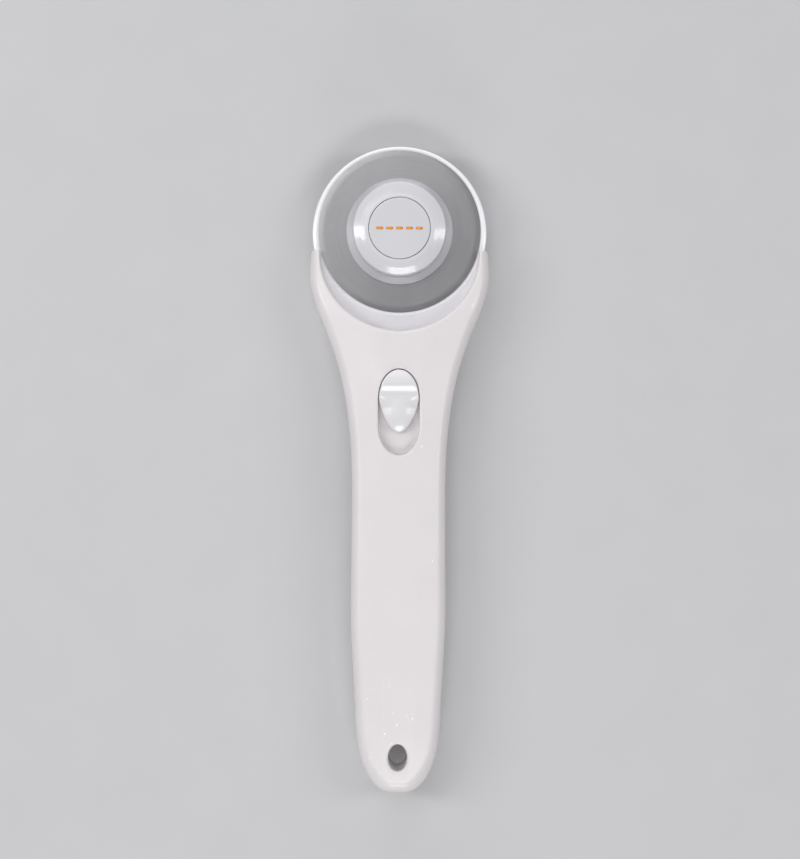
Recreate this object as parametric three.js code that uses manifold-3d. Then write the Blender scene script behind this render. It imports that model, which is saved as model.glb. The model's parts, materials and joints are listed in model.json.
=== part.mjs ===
// Rotary cutter: a stick handle in two shells, a round blade on a keyed axle, and a blade guard
// that a thumb slide draws back along the handle.
// Millimetres. X is across the handle, Y runs towards the blade, Z comes out of the handle's front.
// Every piece is placed from the blade's axle at X = 0, Y = 0, and from the back face at Z = 0.
// The exported group moves the origin to the middle of the cutter's length and width.
import * as THREE from "three";
import { mergeVertices } from "three/addons/utils/BufferGeometryUtils.js";
import { LoftGeometry } from "three/addons/geometries/LoftGeometry.js";
import Module from "manifold-3d";

const wasm = await Module();
wasm.setup();

// ---- Driving dimensions -------------------------------------------------------------------

// Clearances
const RUN = 0.2; // between faces that slide or turn on each other
const SEAT = 0.15; // round a piece that sits in a pocket or hole
const SEAM = 0.3; // between the two shells

// Blade and guard
const BLADE_D = 45;
const BLADE_T = 0.3;
const GUARD_RIM = 1.7; // the guard's rim has a radius this much over the blade's
const GUARD_SET_BACK = 0.5; // and is centred this far behind the axle
const SKIRT_LAP = 0.6; // how far the guard's skirt runs on under the handle's edge
const GUARD_T = 1.8;
const GUARD_TRAVEL = 5;
const TONGUE_W = 12; // the guard's tail that runs back inside the handle
const GUARD_EDGE = 0.5; // rounding of the rim
const GRIND = 1; // width of the blade's ground bevel

// Axle, from its head down to its thread
const JOURNAL_D = 8;
const AXLE_FLAT_W = 6; // across the two flats that stop it turning in the arm
const THREAD_D = 6;
const BOLT_HEAD_D = 11;
const BOLT_HEAD_H = 2;

// Hub
const CAP_D = 25.4;
const CAP_H = 7;
const CAP_SHOULDER = 1.6; // radius of the cap's rounded outer edge
const BADGE_D = 16.8;
const BADGE_T = 0.6;
const CLAMP_D = 30;
const CLAMP_T = 0.8;

// Nut and wave washer at the back
const NUT_D = 18;
const NUT_H = 4.7;
const NUT_REST_GAP = 0.5; // the nut stays clear of the surface that the handle lies on
const NUT_EDGE = 0.8;
const FINGER_DIPS = 8; // scallops round the nut's edge
const DIP_R = 2.4;
const DIP_OUT = 1.2; // from the nut's edge out to a scallop's centre
const INSERT_D = 9.4;
const INSERT_H = 3.9;
const WAVE_D = 16;
const WAVE_T = 0.25;
const WAVE_RISE = 0.12;

// Handle
const TAIL_REACH = 156; // from the axle to the tail
const TAIL_THINNING = 2.5; // how much lower the front is at the tail
const TAIL_LIFT = 4; // how much higher the back is at the tail
const TAIL_LIFT_RUN = 26; // length over which the back lifts towards the tail
const GRIP_W = 25.9;
const HEAD_LIP = 0.75; // how far the head reaches past the guard on each side
const HORN_DROP = 1.8; // how much lower the front is at the horns' tips
const HIP_RUN = 24.1; // from the tail to where the grip starts to round in
const HIP_TAPER = 1.05; // how much narrower each side is there
const WAIST_RUN = 43.8; // from the crescent to where the head starts to widen
const WALL = 2.2;
const TAIL_BLOCK = 19; // solid length at the tail, round the hanging hole
const END_ROUND = 5; // length over which the tail rounds off
const ARM_T = 3.55; // the rear shell's arm under the blade
const ARM_BOSS_D = 30;
const RECESS_TUCK = 0.4; // how much smaller the crescent's radius is than the blade's
const RECESS_OFFSET = 6.05; // the crescent's centre, behind the axle
const HORN_TIP_BACK = 5.3; // the horns' tips, behind the axle
const HANG_W = 5.2;
const HANG_L = 7.6;
const HANG_INSET = 10.5; // from the tail to the hole's centre

// Thumb slide
const SLOT_W = 11.4;
const SLOT_L = 23.8;
const SLOT_END = 8.2; // length of each rounded end, past the straight sides
const SLOT_LAND = 10.15; // handle surface left between the crescent and the slot
const SLOT_DEPTH = 3.1;
const BUTTON_EDGE = 1.2;
const SCOOP_R = 14; // radius and depth of the thumb's scoop
const SCOOP_DEPTH = 0.9;
const TRAY_T = 1.4;
const BUTTON_GAP = 0.35;
const BUTTON_END_ROOM = 1.3; // left behind the button's tip when it is fully back
const BUTTON_RISE = 1; // above the handle's front
const STEM_W = 4;
const STEM_L = 5;
const CARRIAGE_W = 10;
const CARRIAGE_T = 1.5;

// Stiffening plate, spring and screws
const PLATE_T = 1.5;
const PLATE_W = 15;
const PLATE_BOSS_D = 21;
const PLATE_TAIL = 27; // how far the plate reaches behind the axle
const PLATE_SCREW_SPACING = 8.8;
const PLATE_SCREW_INSET = 4.5;
const PLATE_SCREW_GRIP = 3.5; // length of shank below the head
const SPRING_W = 4;
const SPRING_T = 0.3;
const SPRING_L = 20;
const SPRING_BUMP = 0.6;
const STAKE_R = 0.9; // the moulded stake that holds the spring
const NOTCH_DEPTH = 0.5; // of the two notches under the tongue
const NOTCH_HALF_L = 0.8;
const NOTCH_W = 6;
const SHELL_SCREW = { headD: 4.6, headH: 1.7, shankD: 2.5, bossD: 6.4, sunk: 3.4 };
const SMALL_SCREW = { headD: 3.8, headH: 0.7, shankD: 1.8 };
const HEAD_SCREW_BACK = 7.8; // from the crescent back to the two screws in the head
const GRIP_SCREW_RUN = 18; // from the slot's tail to the first screw in the grip
const TAIL_SCREW_RUN = 12; // from the tail's solid block to the last screw
const CARRIAGE_SCREW_INSET = 3;

// Facets
const ROUND = 36; // sides of a large circle
const FINE_ROUND = 60; // sides of the largest ones
const SMALL_ROUND = 12; // sides of a small one
const ARCH_STEPS = 16; // steps over one side of the handle's section
const FLAT_SHARE = 0.985; // the front is cut flat at this share of its full oval height
const FRONT_POWER = 3; // squareness of the front's section along the grip
const HORN_POWER = 4.6; // and at the horns
const BACK_POWER = 3.6;

// ---- Places worked out from them ----------------------------------------------------------

const BLADE_R = BLADE_D / 2;
const GUARD_R = BLADE_R + GUARD_RIM;
const GUARD_FRONT = GUARD_R - GUARD_SET_BACK;
const RECESS_R = BLADE_R - RECESS_TUCK;
const SKIRT_R = RECESS_R + SKIRT_LAP;
const HEAD_HALF = GUARD_R + HEAD_LIP;
const GRIP_HALF = GRIP_W / 2;
const TAIL_Y = -TAIL_REACH;

const NUT_TOP = NUT_REST_GAP + NUT_H;
const WAVE_MID = NUT_TOP + RUN / 2 + WAVE_RISE + WAVE_T / 2;
const ARM_Z = WAVE_MID + WAVE_T / 2 + WAVE_RISE + RUN / 2;
const REAR_TOP = ARM_Z + ARM_T;
const FRONT_BOTTOM = REAR_TOP + SEAM;
const GUARD_Z = REAR_TOP + RUN;
const GUARD_TOP = GUARD_Z + GUARD_T;
const BLADE_Z = GUARD_TOP + RUN;
const CLAMP_Z = BLADE_Z + BLADE_T + RUN;
const CAP_Z = CLAMP_Z + CLAMP_T + SEAT;
const CAP_TOP = CAP_Z + CAP_H;

const RECESS_BOTTOM = -RECESS_OFFSET - RECESS_R;
const HORN_TIP_Y = -HORN_TIP_BACK;
const SHOULDER_Y = 2 * HORN_TIP_Y; // where the rear shell narrows to its arm
const SLOT_HEAD = RECESS_BOTTOM - SLOT_LAND;
const SLOT_TAIL = SLOT_HEAD - SLOT_L;
const SLOT_Y = (SLOT_HEAD + SLOT_TAIL) / 2;
const BUTTON_L = SLOT_L - GUARD_TRAVEL - BUTTON_GAP - BUTTON_END_ROOM;
const BUTTON_HEAD = SLOT_HEAD - BUTTON_GAP;
const STEM_Y = BUTTON_HEAD - BUTTON_L * 0.45;
const CARRIAGE_Z = GUARD_TOP + SEAT;
const CARRIAGE_TOP = CARRIAGE_Z + CARRIAGE_T;
const TRAY_Z = CARRIAGE_TOP + 2 * RUN;
const SLOT_FLOOR = TRAY_Z + TRAY_T;
const HANDLE_T = SLOT_FLOOR + SLOT_DEPTH; // 18 mm
const CARRIAGE_HEAD = SLOT_HEAD + 1;
const CARRIAGE_TAIL = CARRIAGE_HEAD - SLOT_L;
const CAVITY_HEAD = RECESS_BOTTOM - WALL * 1.5;
const CAVITY_TAIL = TAIL_Y + TAIL_BLOCK;
const HANG_Y = TAIL_Y + HANG_INSET;

const INSERT_TOP = NUT_TOP - SEAT;
const INSERT_Z = INSERT_TOP - INSERT_H;
const SPRING_ROOT = CARRIAGE_TAIL - SPRING_W * 1.5;
const SPRING_Z = GUARD_Z - RUN - SPRING_BUMP - SPRING_T;
const SPRING_BUMP_Y = SPRING_ROOT + SPRING_L * 0.7;

const SHELL_SCREW_PLACES = [
  [-HEAD_HALF * 0.46, RECESS_BOTTOM - HEAD_SCREW_BACK],
  [HEAD_HALF * 0.46, RECESS_BOTTOM - HEAD_SCREW_BACK],
  [0, SLOT_TAIL - GRIP_SCREW_RUN],
  [0, CAVITY_TAIL + TAIL_SCREW_RUN],
];
const SHELL_SCREW_TIP = HANDLE_T - TAIL_THINNING - 1.7 * WALL;
const PLATE_SCREW_PLACES = [-1, 1].map((side) => [
  (side * PLATE_SCREW_SPACING) / 2,
  PLATE_SCREW_INSET - PLATE_TAIL,
]);
const PLATE_SCREW_SEAT = REAR_TOP - SEAT - SMALL_SCREW.headH;
const PLATE_SCREW_TIP = PLATE_SCREW_SEAT - PLATE_SCREW_GRIP;
const CARRIAGE_SCREW_PLACES = [
  [0, CARRIAGE_HEAD - CARRIAGE_SCREW_INSET],
  [0, CARRIAGE_TAIL + CARRIAGE_SCREW_INSET],
];

// ---- Materials ----------------------------------------------------------------------------

function finish(color, roughness, metalness) {
  return new THREE.MeshStandardMaterial({ color, roughness, metalness });
}

const FINISH = {
  handle: () => finish(0xe6e3e0, 0.35, 0),
  guard: () => finish(0xe4e3ea, 0.25, 0),
  pearl: () => finish(0xe2e4ea, 0.2, 0.05),
  steel: () => finish(0x9d9ca1, 0.35, 1),
  clamp: () => finish(0xb9b9bf, 0.35, 0.2),
  plated: () => finish(0xc4c6c9, 0.3, 1),
  slider: () => finish(0xd9d8d4, 0.6, 0),
  brass: () => finish(0xc9a55a, 0.35, 1),
};

// ---- Shapes and solids --------------------------------------------------------------------

function solidOf(geometry) {
  const bare = geometry.index ? geometry.toNonIndexed() : geometry.clone();
  bare.deleteAttribute("normal");
  bare.deleteAttribute("uv");
  const merged = mergeVertices(bare, 1e-4);
  return new wasm.Manifold(
    new wasm.Mesh({
      numProp: 3,
      vertProperties: merged.attributes.position.array,
      triVerts: new Uint32Array(merged.index.array),
    }),
  );
}

function geometryOf(solid) {
  const mesh = solid.getMesh();
  const geometry = new THREE.BufferGeometry();
  geometry.setAttribute("position", new THREE.BufferAttribute(mesh.vertProperties, 3));
  geometry.setIndex(new THREE.BufferAttribute(mesh.triVerts, 1));
  geometry.computeVertexNormals();
  return geometry;
}

function named(name, solid, material) {
  const mesh = new THREE.Mesh(geometryOf(solid), material());
  mesh.name = name;
  return mesh;
}

function joined(first, ...others) {
  return others.reduce((whole, other) => whole.add(other), first);
}

function cut(from, ...tools) {
  return tools.reduce((rest, tool) => rest.subtract(tool), from);
}

function ovalShape(x, y, halfX, halfY) {
  return new THREE.Shape().absellipse(x, y, halfX, halfY, 0, 2 * Math.PI, false, 0);
}

function circleShape(x, y, radius) {
  return ovalShape(x, y, radius, radius);
}

function boxShape(x0, y0, x1, y1) {
  return new THREE.Shape([
    new THREE.Vector2(x0, y0),
    new THREE.Vector2(x1, y0),
    new THREE.Vector2(x1, y1),
    new THREE.Vector2(x0, y1),
  ]);
}

// A slot along Y with round ends centred at yLow and yHigh.
function slotShape(x, yLow, yHigh, radius) {
  return new THREE.Shape()
    .absarc(x, yHigh, radius, 0, Math.PI, false)
    .absarc(x, yLow, radius, Math.PI, 2 * Math.PI, false)
    .closePath();
}

function prism(shape, z0, z1, sides = ROUND) {
  const options = { depth: z1 - z0, bevelEnabled: false, curveSegments: sides / 2 };
  return solidOf(new THREE.ExtrudeGeometry(shape, options).translate(0, 0, z0));
}

function disc(radius, z0, z1, sides = ROUND, x = 0, y = 0) {
  return prism(circleShape(x, y, radius), z0, z1, sides);
}

// A body of revolution about a line along Z, from its profile of [radius, z] corners.
function turned(profile, x = 0, y = 0, sides = ROUND) {
  const points = profile.map(([radius, z]) => new THREE.Vector2(radius, z));
  const geometry = new THREE.LatheGeometry([...points, points[0].clone()], sides);
  return solidOf(geometry.rotateX(Math.PI / 2).translate(x, y, 0));
}

// A quarter circle of [radius, z] corners that rounds a turned edge at its top.
function topRound(radius, top, round, steps = 5) {
  return Array.from({ length: steps + 1 }, (_, i) => {
    const angle = (i / steps) * (Math.PI / 2);
    return [radius - round * (1 - Math.cos(angle)), top - round * (1 - Math.sin(angle))];
  });
}

// A screw with a low round head. The head's seat is at zSeat and the shank runs to zTip.
function screwSolid({ headD, headH, shankD }, [x, y], zSeat, zTip) {
  const away = Math.sign(zSeat - zTip);
  const profile = [
    [0, zTip],
    [shankD / 2, zTip],
    [shankD / 2, zSeat],
    [headD / 2, zSeat],
    [headD / 2, zSeat + away * headH * 0.5],
    [headD * 0.36, zSeat + away * headH],
    [0, zSeat + away * headH],
  ];
  return turned(away > 0 ? profile : profile.reverse(), x, y, SMALL_ROUND);
}

// ---- Handle form --------------------------------------------------------------------------

const point = (x, y) => new THREE.Vector2(x, y);

// The handle's right-hand outline, from the tail to the tip of the horn beside the blade.
function outlinePoints() {
  const hip = TAIL_Y + HIP_RUN;
  const waist = RECESS_BOTTOM - WAIST_RUN;
  const hipHalf = GRIP_HALF - HIP_TAPER;
  const cheek = -HEAD_HALF * 0.465;
  const path = new THREE.CurvePath();
  const bend = (...corners) => path.add(new THREE.CubicBezierCurve(...corners));
  bend(
    point(1.5, TAIL_Y),
    point(GRIP_HALF * 0.48, TAIL_Y),
    point(hipHalf - 0.15, TAIL_Y + 5),
    point(hipHalf, hip),
  );
  bend(
    point(hipHalf, hip),
    point(hipHalf + 1.9, hip + 33),
    point(GRIP_HALF + 0.05, hip + 19),
    point(GRIP_HALF, waist),
  );
  bend(
    point(GRIP_HALF, waist),
    point(GRIP_HALF, waist + 41.5),
    point(HEAD_HALF - 0.26, cheek - 13.9),
    point(HEAD_HALF, cheek),
  );
  bend(
    point(HEAD_HALF, cheek),
    point(HEAD_HALF, cheek + 2),
    point(HEAD_HALF - 0.1, cheek + 4),
    point(HEAD_HALF - 0.4, HORN_TIP_Y),
  );
  return path.getPoints(7);
}

const OUTLINE = outlinePoints();

function halfWidthAt(y) {
  const next = OUTLINE.findIndex((p) => p.y > y);
  if (next < 0) return OUTLINE[OUTLINE.length - 1].x;
  if (next === 0) return OUTLINE[0].x;
  const a = OUTLINE[next - 1];
  const b = OUTLINE[next];
  return a.x + ((b.x - a.x) * (y - a.y)) / (b.y - a.y);
}

function smooth(from, to, value) {
  return THREE.MathUtils.smoothstep(value, from, to);
}

// From a third at the tail's end to 1 where the rounded end is over.
function endShare(y) {
  const along = Math.min((y - TAIL_Y) / END_ROUND, 1);
  return 0.33 + 0.67 * Math.sqrt(1 - (1 - along) ** 2);
}

function frontLevel(y) {
  const grip = (TAIL_Y + SLOT_Y) / 2;
  const towardsTail = Math.max((grip - y) / (grip - TAIL_Y), 0);
  const headDrop = HORN_DROP * smooth(RECESS_BOTTOM + 5, HORN_TIP_Y, y);
  const level = HANDLE_T - TAIL_THINNING * towardsTail ** 2 - headDrop;
  return REAR_TOP + (level - REAR_TOP) * endShare(y);
}

function backLevel(y) {
  const rise = ARM_Z * smooth(RECESS_BOTTOM + 2, -NUT_D / 2 - 1, y);
  const lift = TAIL_LIFT * (1 - smooth(TAIL_Y, TAIL_Y + TAIL_LIFT_RUN, y));
  return REAR_TOP - (REAR_TOP - rise - lift) * endShare(y);
}

// One side of a cross section at y, from base out to level, as a squared oval cut flat.
function sectionPoints(y, halfWidth, base, level, power) {
  const height = (level - base) / FLAT_SHARE;
  return Array.from({ length: ARCH_STEPS + 1 }, (_, i) => {
    const angle = Math.PI * (1 - i / ARCH_STEPS);
    const across = Math.sign(Math.cos(angle)) * Math.abs(Math.cos(angle)) ** (2 / power);
    const share = Math.min(Math.abs(Math.sin(angle)) ** (2 / power), FLAT_SHARE);
    const side = i === 0 || i === ARCH_STEPS ? 0 : share;
    return new THREE.Vector3(halfWidth * across, y, base + height * side);
  });
}

function loft(sections) {
  return solidOf(new LoftGeometry(sections, { capStart: true, capEnd: true }));
}

function spread(from, to, count) {
  return Array.from({ length: count }, (_, i) => from + ((to - from) * i) / (count - 1));
}

// The handle's form in front of the seam, or behind it, shrunk by inset on every side.
function frontForm(ys, inset = 0) {
  return loft(
    ys.map((y) => {
      const half = halfWidthAt(y) - inset;
      const power = THREE.MathUtils.lerp(
        FRONT_POWER,
        HORN_POWER,
        smooth(RECESS_BOTTOM, HORN_TIP_Y, y),
      );
      return sectionPoints(y, half, FRONT_BOTTOM - inset, frontLevel(y) - inset, power);
    }),
  );
}

function backForm(ys, inset = 0) {
  return loft(
    ys.map((y) => {
      const half = halfWidthAt(y) - inset;
      const base = REAR_TOP + inset;
      return sectionPoints(y, half, base, backLevel(y) + inset, BACK_POWER).reverse();
    }),
  );
}

const OUTER_YS = OUTLINE.map((p) => p.y);
const CAVITY_YS = spread(CAVITY_TAIL, CAVITY_HEAD, 10);

// ---- Handle shells ------------------------------------------------------------------------

// Room for the guard over its whole travel. It opens at the sides behind the horns' tips.
function guardPocket() {
  const skirtRoom = SKIRT_R + RUN;
  const z0 = REAR_TOP;
  const z1 = GUARD_TOP + RUN;
  const tongueHalf = TONGUE_W / 2 + RUN;
  return joined(
    disc(GUARD_R + RUN, z0, z1, FINE_ROUND, 0, -GUARD_SET_BACK - GUARD_TRAVEL),
    disc(skirtRoom, z0, z1, FINE_ROUND, 0, -RECESS_OFFSET - GUARD_TRAVEL),
    prism(boxShape(-HEAD_HALF - 1, SHOULDER_Y, HEAD_HALF + 1, 0), z0, z1),
    prism(boxShape(-tongueHalf, CAVITY_HEAD - 1, tongueHalf, 0), z0, z1),
  );
}

function stemSlot() {
  const half = STEM_W / 2 + RUN;
  const head = STEM_Y + STEM_L / 2 + RUN;
  const tail = STEM_Y - STEM_L / 2 - GUARD_TRAVEL - RUN;
  return prism(boxShape(-half, tail, half, head), TRAY_Z - 1, SLOT_FLOOR + 1);
}

// The thumb slot's plan, grown by room: straight sides between two half ovals.
function thumbSlotShape(room = 0) {
  const half = SLOT_W / 2 + room;
  const end = SLOT_END + room;
  return new THREE.Shape()
    .absellipse(0, SLOT_HEAD - SLOT_END, half, end, 0, Math.PI, false, 0)
    .absellipse(0, SLOT_TAIL + SLOT_END, half, end, Math.PI, 2 * Math.PI, false, 0)
    .closePath();
}

function hangHole() {
  return prism(ovalShape(0, HANG_Y, HANG_W / 2, HANG_L / 2), -1, HANDLE_T + 1);
}

function frontShell() {
  const { bossD, shankD } = SHELL_SCREW;
  const bosses = SHELL_SCREW_PLACES.map(([x, y]) =>
    disc(bossD / 2, FRONT_BOTTOM, frontLevel(y) - WALL / 2, SMALL_ROUND, x, y),
  );
  const pilots = SHELL_SCREW_PLACES.map(([x, y]) =>
    disc(shankD / 2 + SEAT, 0, SHELL_SCREW_TIP + 1, SMALL_ROUND, x, y),
  );
  const tray = prism(thumbSlotShape(TRAY_T), TRAY_Z, HANDLE_T - WALL / 2);
  const inner = joined(tray, ...bosses).intersect(frontForm(OUTER_YS, WALL / 2));
  return cut(
    joined(cut(frontForm(OUTER_YS), frontForm(CAVITY_YS, WALL)), inner),
    disc(RECESS_R, REAR_TOP, HANDLE_T + 1, FINE_ROUND, 0, -RECESS_OFFSET),
    guardPocket(),
    prism(thumbSlotShape(), SLOT_FLOOR, HANDLE_T + 1),
    stemSlot(),
    hangHole(),
    ...pilots,
  );
}

// The arm that carries the axle, from the shoulders of the head to the round boss.
function armShape() {
  const boss = ARM_BOSS_D / 2;
  const shoulder = HEAD_HALF - HEAD_LIP;
  const overlap = 3;
  return new THREE.Shape()
    .moveTo(-shoulder, SHOULDER_Y - overlap)
    .lineTo(shoulder, SHOULDER_Y - overlap)
    .lineTo(shoulder, SHOULDER_Y)
    .bezierCurveTo(shoulder, -5, boss + 3, boss * 0.1, boss * 0.9, boss * 0.44)
    .absarc(0, 0, boss, Math.PI * 0.145, Math.PI * 0.855, false)
    .bezierCurveTo(-boss - 3, boss * 0.1, -shoulder, -5, -shoulder, SHOULDER_Y);
}

// The outline of the stiffening plate, grown by room on every side.
function platePrism(room, z0, z1) {
  const half = PLATE_W / 2 + room;
  return joined(
    disc(PLATE_BOSS_D / 2 + room, z0, z1),
    prism(slotShape(0, -PLATE_TAIL + PLATE_W / 2, 0, half), z0, z1),
  );
}

// The axle's section where two flats key it to the arm, grown by room.
function keyedPrism(room, z0, z1) {
  const half = AXLE_FLAT_W / 2 + room;
  const radius = JOURNAL_D / 2 + room;
  return disc(radius, z0, z1, ROUND).intersect(
    prism(boxShape(-half, -radius - 1, half, radius + 1), z0, z1),
  );
}

// The post that the detent spring lies on, with the stake that goes through the spring.
function springPost() {
  const halfX = SPRING_W * 0.75;
  const halfY = SPRING_W * 0.75;
  const foot = boxShape(-halfX, SPRING_ROOT - halfY, halfX, SPRING_ROOT + halfY);
  const stakeTop = SPRING_Z + SPRING_T + SEAT;
  return joined(
    prism(foot, WALL / 2, SPRING_Z - SEAT),
    disc(STAKE_R, WALL, stakeTop, SMALL_ROUND, 0, SPRING_ROOT),
  );
}

function rearShell() {
  const { headD, shankD, bossD, sunk } = SHELL_SCREW;
  const outerYs = [...OUTER_YS.filter((y) => y < SHOULDER_Y - 1), SHOULDER_Y];
  const bosses = SHELL_SCREW_PLACES.map(([x, y]) =>
    disc(bossD / 2, WALL / 2, REAR_TOP, SMALL_ROUND, x, y),
  );
  const counterbores = SHELL_SCREW_PLACES.map(([x, y]) =>
    disc(headD / 2 + RUN, -1, sunk, SMALL_ROUND, x, y),
  );
  const clearanceHoles = SHELL_SCREW_PLACES.map(([x, y]) =>
    disc(shankD / 2 + RUN, 0, HANDLE_T, SMALL_ROUND, x, y),
  );
  const plateHoles = PLATE_SCREW_PLACES.map(([x, y]) =>
    disc(SMALL_SCREW.shankD / 2 + SEAT, PLATE_SCREW_TIP - SEAT, HANDLE_T, SMALL_ROUND, x, y),
  );
  const inner = joined(springPost(), ...bosses);
  return cut(
    joined(
      cut(backForm(outerYs), backForm(CAVITY_YS, WALL)),
      inner.intersect(backForm(outerYs, WALL / 2)),
      prism(armShape(), ARM_Z, REAR_TOP),
    ),
    platePrism(SEAT, REAR_TOP - PLATE_T - 2 * SEAT, HANDLE_T),
    keyedPrism(SEAT, 0, HANDLE_T),
    disc(NUT_D / 2 + 1, -1, ARM_Z),
    hangHole(),
    ...counterbores,
    ...clearanceHoles,
    ...plateHoles,
  );
}

// ---- Head ---------------------------------------------------------------------------------

function carrierPlate() {
  const z1 = REAR_TOP - SEAT;
  const z0 = z1 - PLATE_T;
  const sinks = PLATE_SCREW_PLACES.map(([x, y]) =>
    disc(SMALL_SCREW.headD / 2 + SEAT, z1 - SMALL_SCREW.headH - SEAT, z1 + 1, SMALL_ROUND, x, y),
  );
  const holes = PLATE_SCREW_PLACES.map(([x, y]) =>
    disc(SMALL_SCREW.shankD / 2 + SEAT, z0 - 1, z1, SMALL_ROUND, x, y),
  );
  return cut(platePrism(0, z0, z1), keyedPrism(SEAT, z0 - 1, z1 + 1), ...sinks, ...holes);
}

function axleBolt() {
  const headZ = CAP_Z + SEAT;
  const head = turned([
    [0, REAR_TOP],
    [JOURNAL_D / 2, REAR_TOP],
    [JOURNAL_D / 2, headZ],
    [BOLT_HEAD_D / 2, headZ],
    ...topRound(BOLT_HEAD_D / 2, headZ + BOLT_HEAD_H, 0.6, 3),
    [0, headZ + BOLT_HEAD_H],
  ]);
  const thread = turned([
    [0, NUT_REST_GAP + 0.5],
    [THREAD_D / 2 - 0.5, NUT_REST_GAP + 0.5],
    [THREAD_D / 2, NUT_REST_GAP + 1],
    [THREAD_D / 2, ARM_Z + 0.1],
    [0, ARM_Z + 0.1],
  ]);
  return joined(head, keyedPrism(0, ARM_Z, REAR_TOP), thread);
}

function blade() {
  const z1 = BLADE_Z + BLADE_T;
  const bore = JOURNAL_D / 2 + SEAT / 2;
  return turned(
    [
      [bore, BLADE_Z],
      [BLADE_R - GRIND, BLADE_Z],
      [BLADE_R, BLADE_Z + BLADE_T / 2],
      [BLADE_R - GRIND, z1],
      [bore, z1],
    ],
    0,
    0,
    FINE_ROUND,
  );
}

function bladeGuard() {
  const tongueTail = CARRIAGE_TAIL - 1;
  const rim = turned(
    [
      [0, GUARD_Z],
      [GUARD_R - GUARD_EDGE, GUARD_Z],
      [GUARD_R, GUARD_Z + GUARD_EDGE],
      ...topRound(GUARD_R, GUARD_TOP, GUARD_EDGE, 3),
      [0, GUARD_TOP],
    ],
    0,
    -GUARD_SET_BACK,
    FINE_ROUND,
  );
  const tongueHalf = TONGUE_W / 2;
  const tongue = prism(
    slotShape(0, tongueTail + tongueHalf, 0, tongueHalf),
    GUARD_Z,
    GUARD_TOP,
    SMALL_ROUND,
  );
  const skirt = disc(SKIRT_R, GUARD_Z, GUARD_TOP, FINE_ROUND, 0, -RECESS_OFFSET);
  const axleHalf = JOURNAL_D / 2 + RUN;
  const notches = [0, GUARD_TRAVEL].map((ahead) => {
    const y = SPRING_BUMP_Y + ahead;
    const notch = boxShape(-NOTCH_W / 2, y - NOTCH_HALF_L, NOTCH_W / 2, y + NOTCH_HALF_L);
    return prism(notch, GUARD_Z - 1, GUARD_Z + NOTCH_DEPTH);
  });
  const screwHoles = CARRIAGE_SCREW_PLACES.map(([x, y]) =>
    disc(SMALL_SCREW.shankD / 2 + SEAT, GUARD_Z - 1, GUARD_TOP + 1, SMALL_ROUND, x, y),
  );
  return cut(
    joined(rim, skirt, tongue),
    prism(slotShape(0, 0, GUARD_TRAVEL, axleHalf), GUARD_Z - 1, GUARD_TOP + 1, SMALL_ROUND),
    ...notches,
    ...screwHoles,
  );
}

function clampWasher() {
  const bore = JOURNAL_D / 2 + SEAT;
  return turned([
    [bore, CLAMP_Z],
    [CLAMP_D / 2, CLAMP_Z],
    ...topRound(CLAMP_D / 2, CLAMP_Z + CLAMP_T, 0.4, 2),
    [bore, CLAMP_Z + CLAMP_T],
  ]);
}

function hubCap() {
  const socket = BOLT_HEAD_D / 2 + SEAT;
  const socketTop = CAP_Z + BOLT_HEAD_H + 3 * SEAT;
  const seat = BADGE_D / 2 + SEAT;
  const dish = 0.5; // the cap falls away from the badge by this much
  return turned([
    [socket, CAP_Z],
    [CAP_D / 2, CAP_Z],
    ...topRound(CAP_D / 2, CAP_TOP - dish, CAP_SHOULDER),
    [seat, CAP_TOP],
    [seat, CAP_TOP - BADGE_T - SEAT],
    [0, CAP_TOP - BADGE_T - SEAT],
    [0, socketTop],
    [socket, socketTop],
  ]);
}

function hubBadge() {
  const z0 = CAP_TOP - BADGE_T;
  return turned([
    [0, z0],
    [BADGE_D / 2, z0],
    ...topRound(BADGE_D / 2, CAP_TOP, 0.15, 2),
    [0, CAP_TOP],
  ]);
}

// ---- Nut at the back ----------------------------------------------------------------------

function waveWasher() {
  const ring = circleShape(0, 0, WAVE_D / 2);
  ring.holes.push(new THREE.Path().absarc(0, 0, THREAD_D / 2 + 1.2, 0, 2 * Math.PI, true));
  const options = { depth: WAVE_T, bevelEnabled: false, curveSegments: ROUND / 2 };
  const geometry = new THREE.ExtrudeGeometry(ring, options);
  const places = geometry.attributes.position;
  for (let i = 0; i < places.count; i++) {
    const angle = Math.atan2(places.getY(i), places.getX(i));
    const lift = WAVE_MID - WAVE_T / 2 + WAVE_RISE * Math.cos(3 * angle);
    places.setZ(i, places.getZ(i) + lift);
  }
  return solidOf(geometry);
}

function hexShape(across) {
  const radius = across / 2 / Math.cos(Math.PI / 6);
  return new THREE.Shape(
    Array.from({ length: 6 }, (_, i) => {
      const angle = (i * Math.PI) / 3;
      return point(radius * Math.cos(angle), radius * Math.sin(angle));
    }),
  );
}

function retainingNut() {
  const dips = Array.from({ length: FINGER_DIPS }, (_, i) => {
    const angle = (i / FINGER_DIPS) * 2 * Math.PI;
    const reach = NUT_D / 2 + DIP_OUT;
    const x = reach * Math.cos(angle);
    const y = reach * Math.sin(angle);
    return disc(DIP_R, NUT_REST_GAP - 1, NUT_TOP - NUT_EDGE, SMALL_ROUND, x, y);
  });
  const body = turned([
    [0, NUT_REST_GAP],
    [NUT_D / 2 - NUT_EDGE, NUT_REST_GAP],
    [NUT_D / 2, NUT_REST_GAP + NUT_EDGE],
    [NUT_D / 2, NUT_TOP],
    [0, NUT_TOP],
  ]);
  return cut(
    body,
    disc(THREAD_D / 2 + RUN, -1, NUT_TOP + 1, SMALL_ROUND),
    prism(hexShape(INSERT_D + 2 * SEAT), INSERT_Z - SEAT, NUT_TOP + 1),
    ...dips,
  );
}

function nutInsert() {
  return cut(
    prism(hexShape(INSERT_D), INSERT_Z, INSERT_TOP),
    disc(THREAD_D / 2 + RUN, 0, NUT_TOP + 1, SMALL_ROUND),
  );
}

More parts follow.
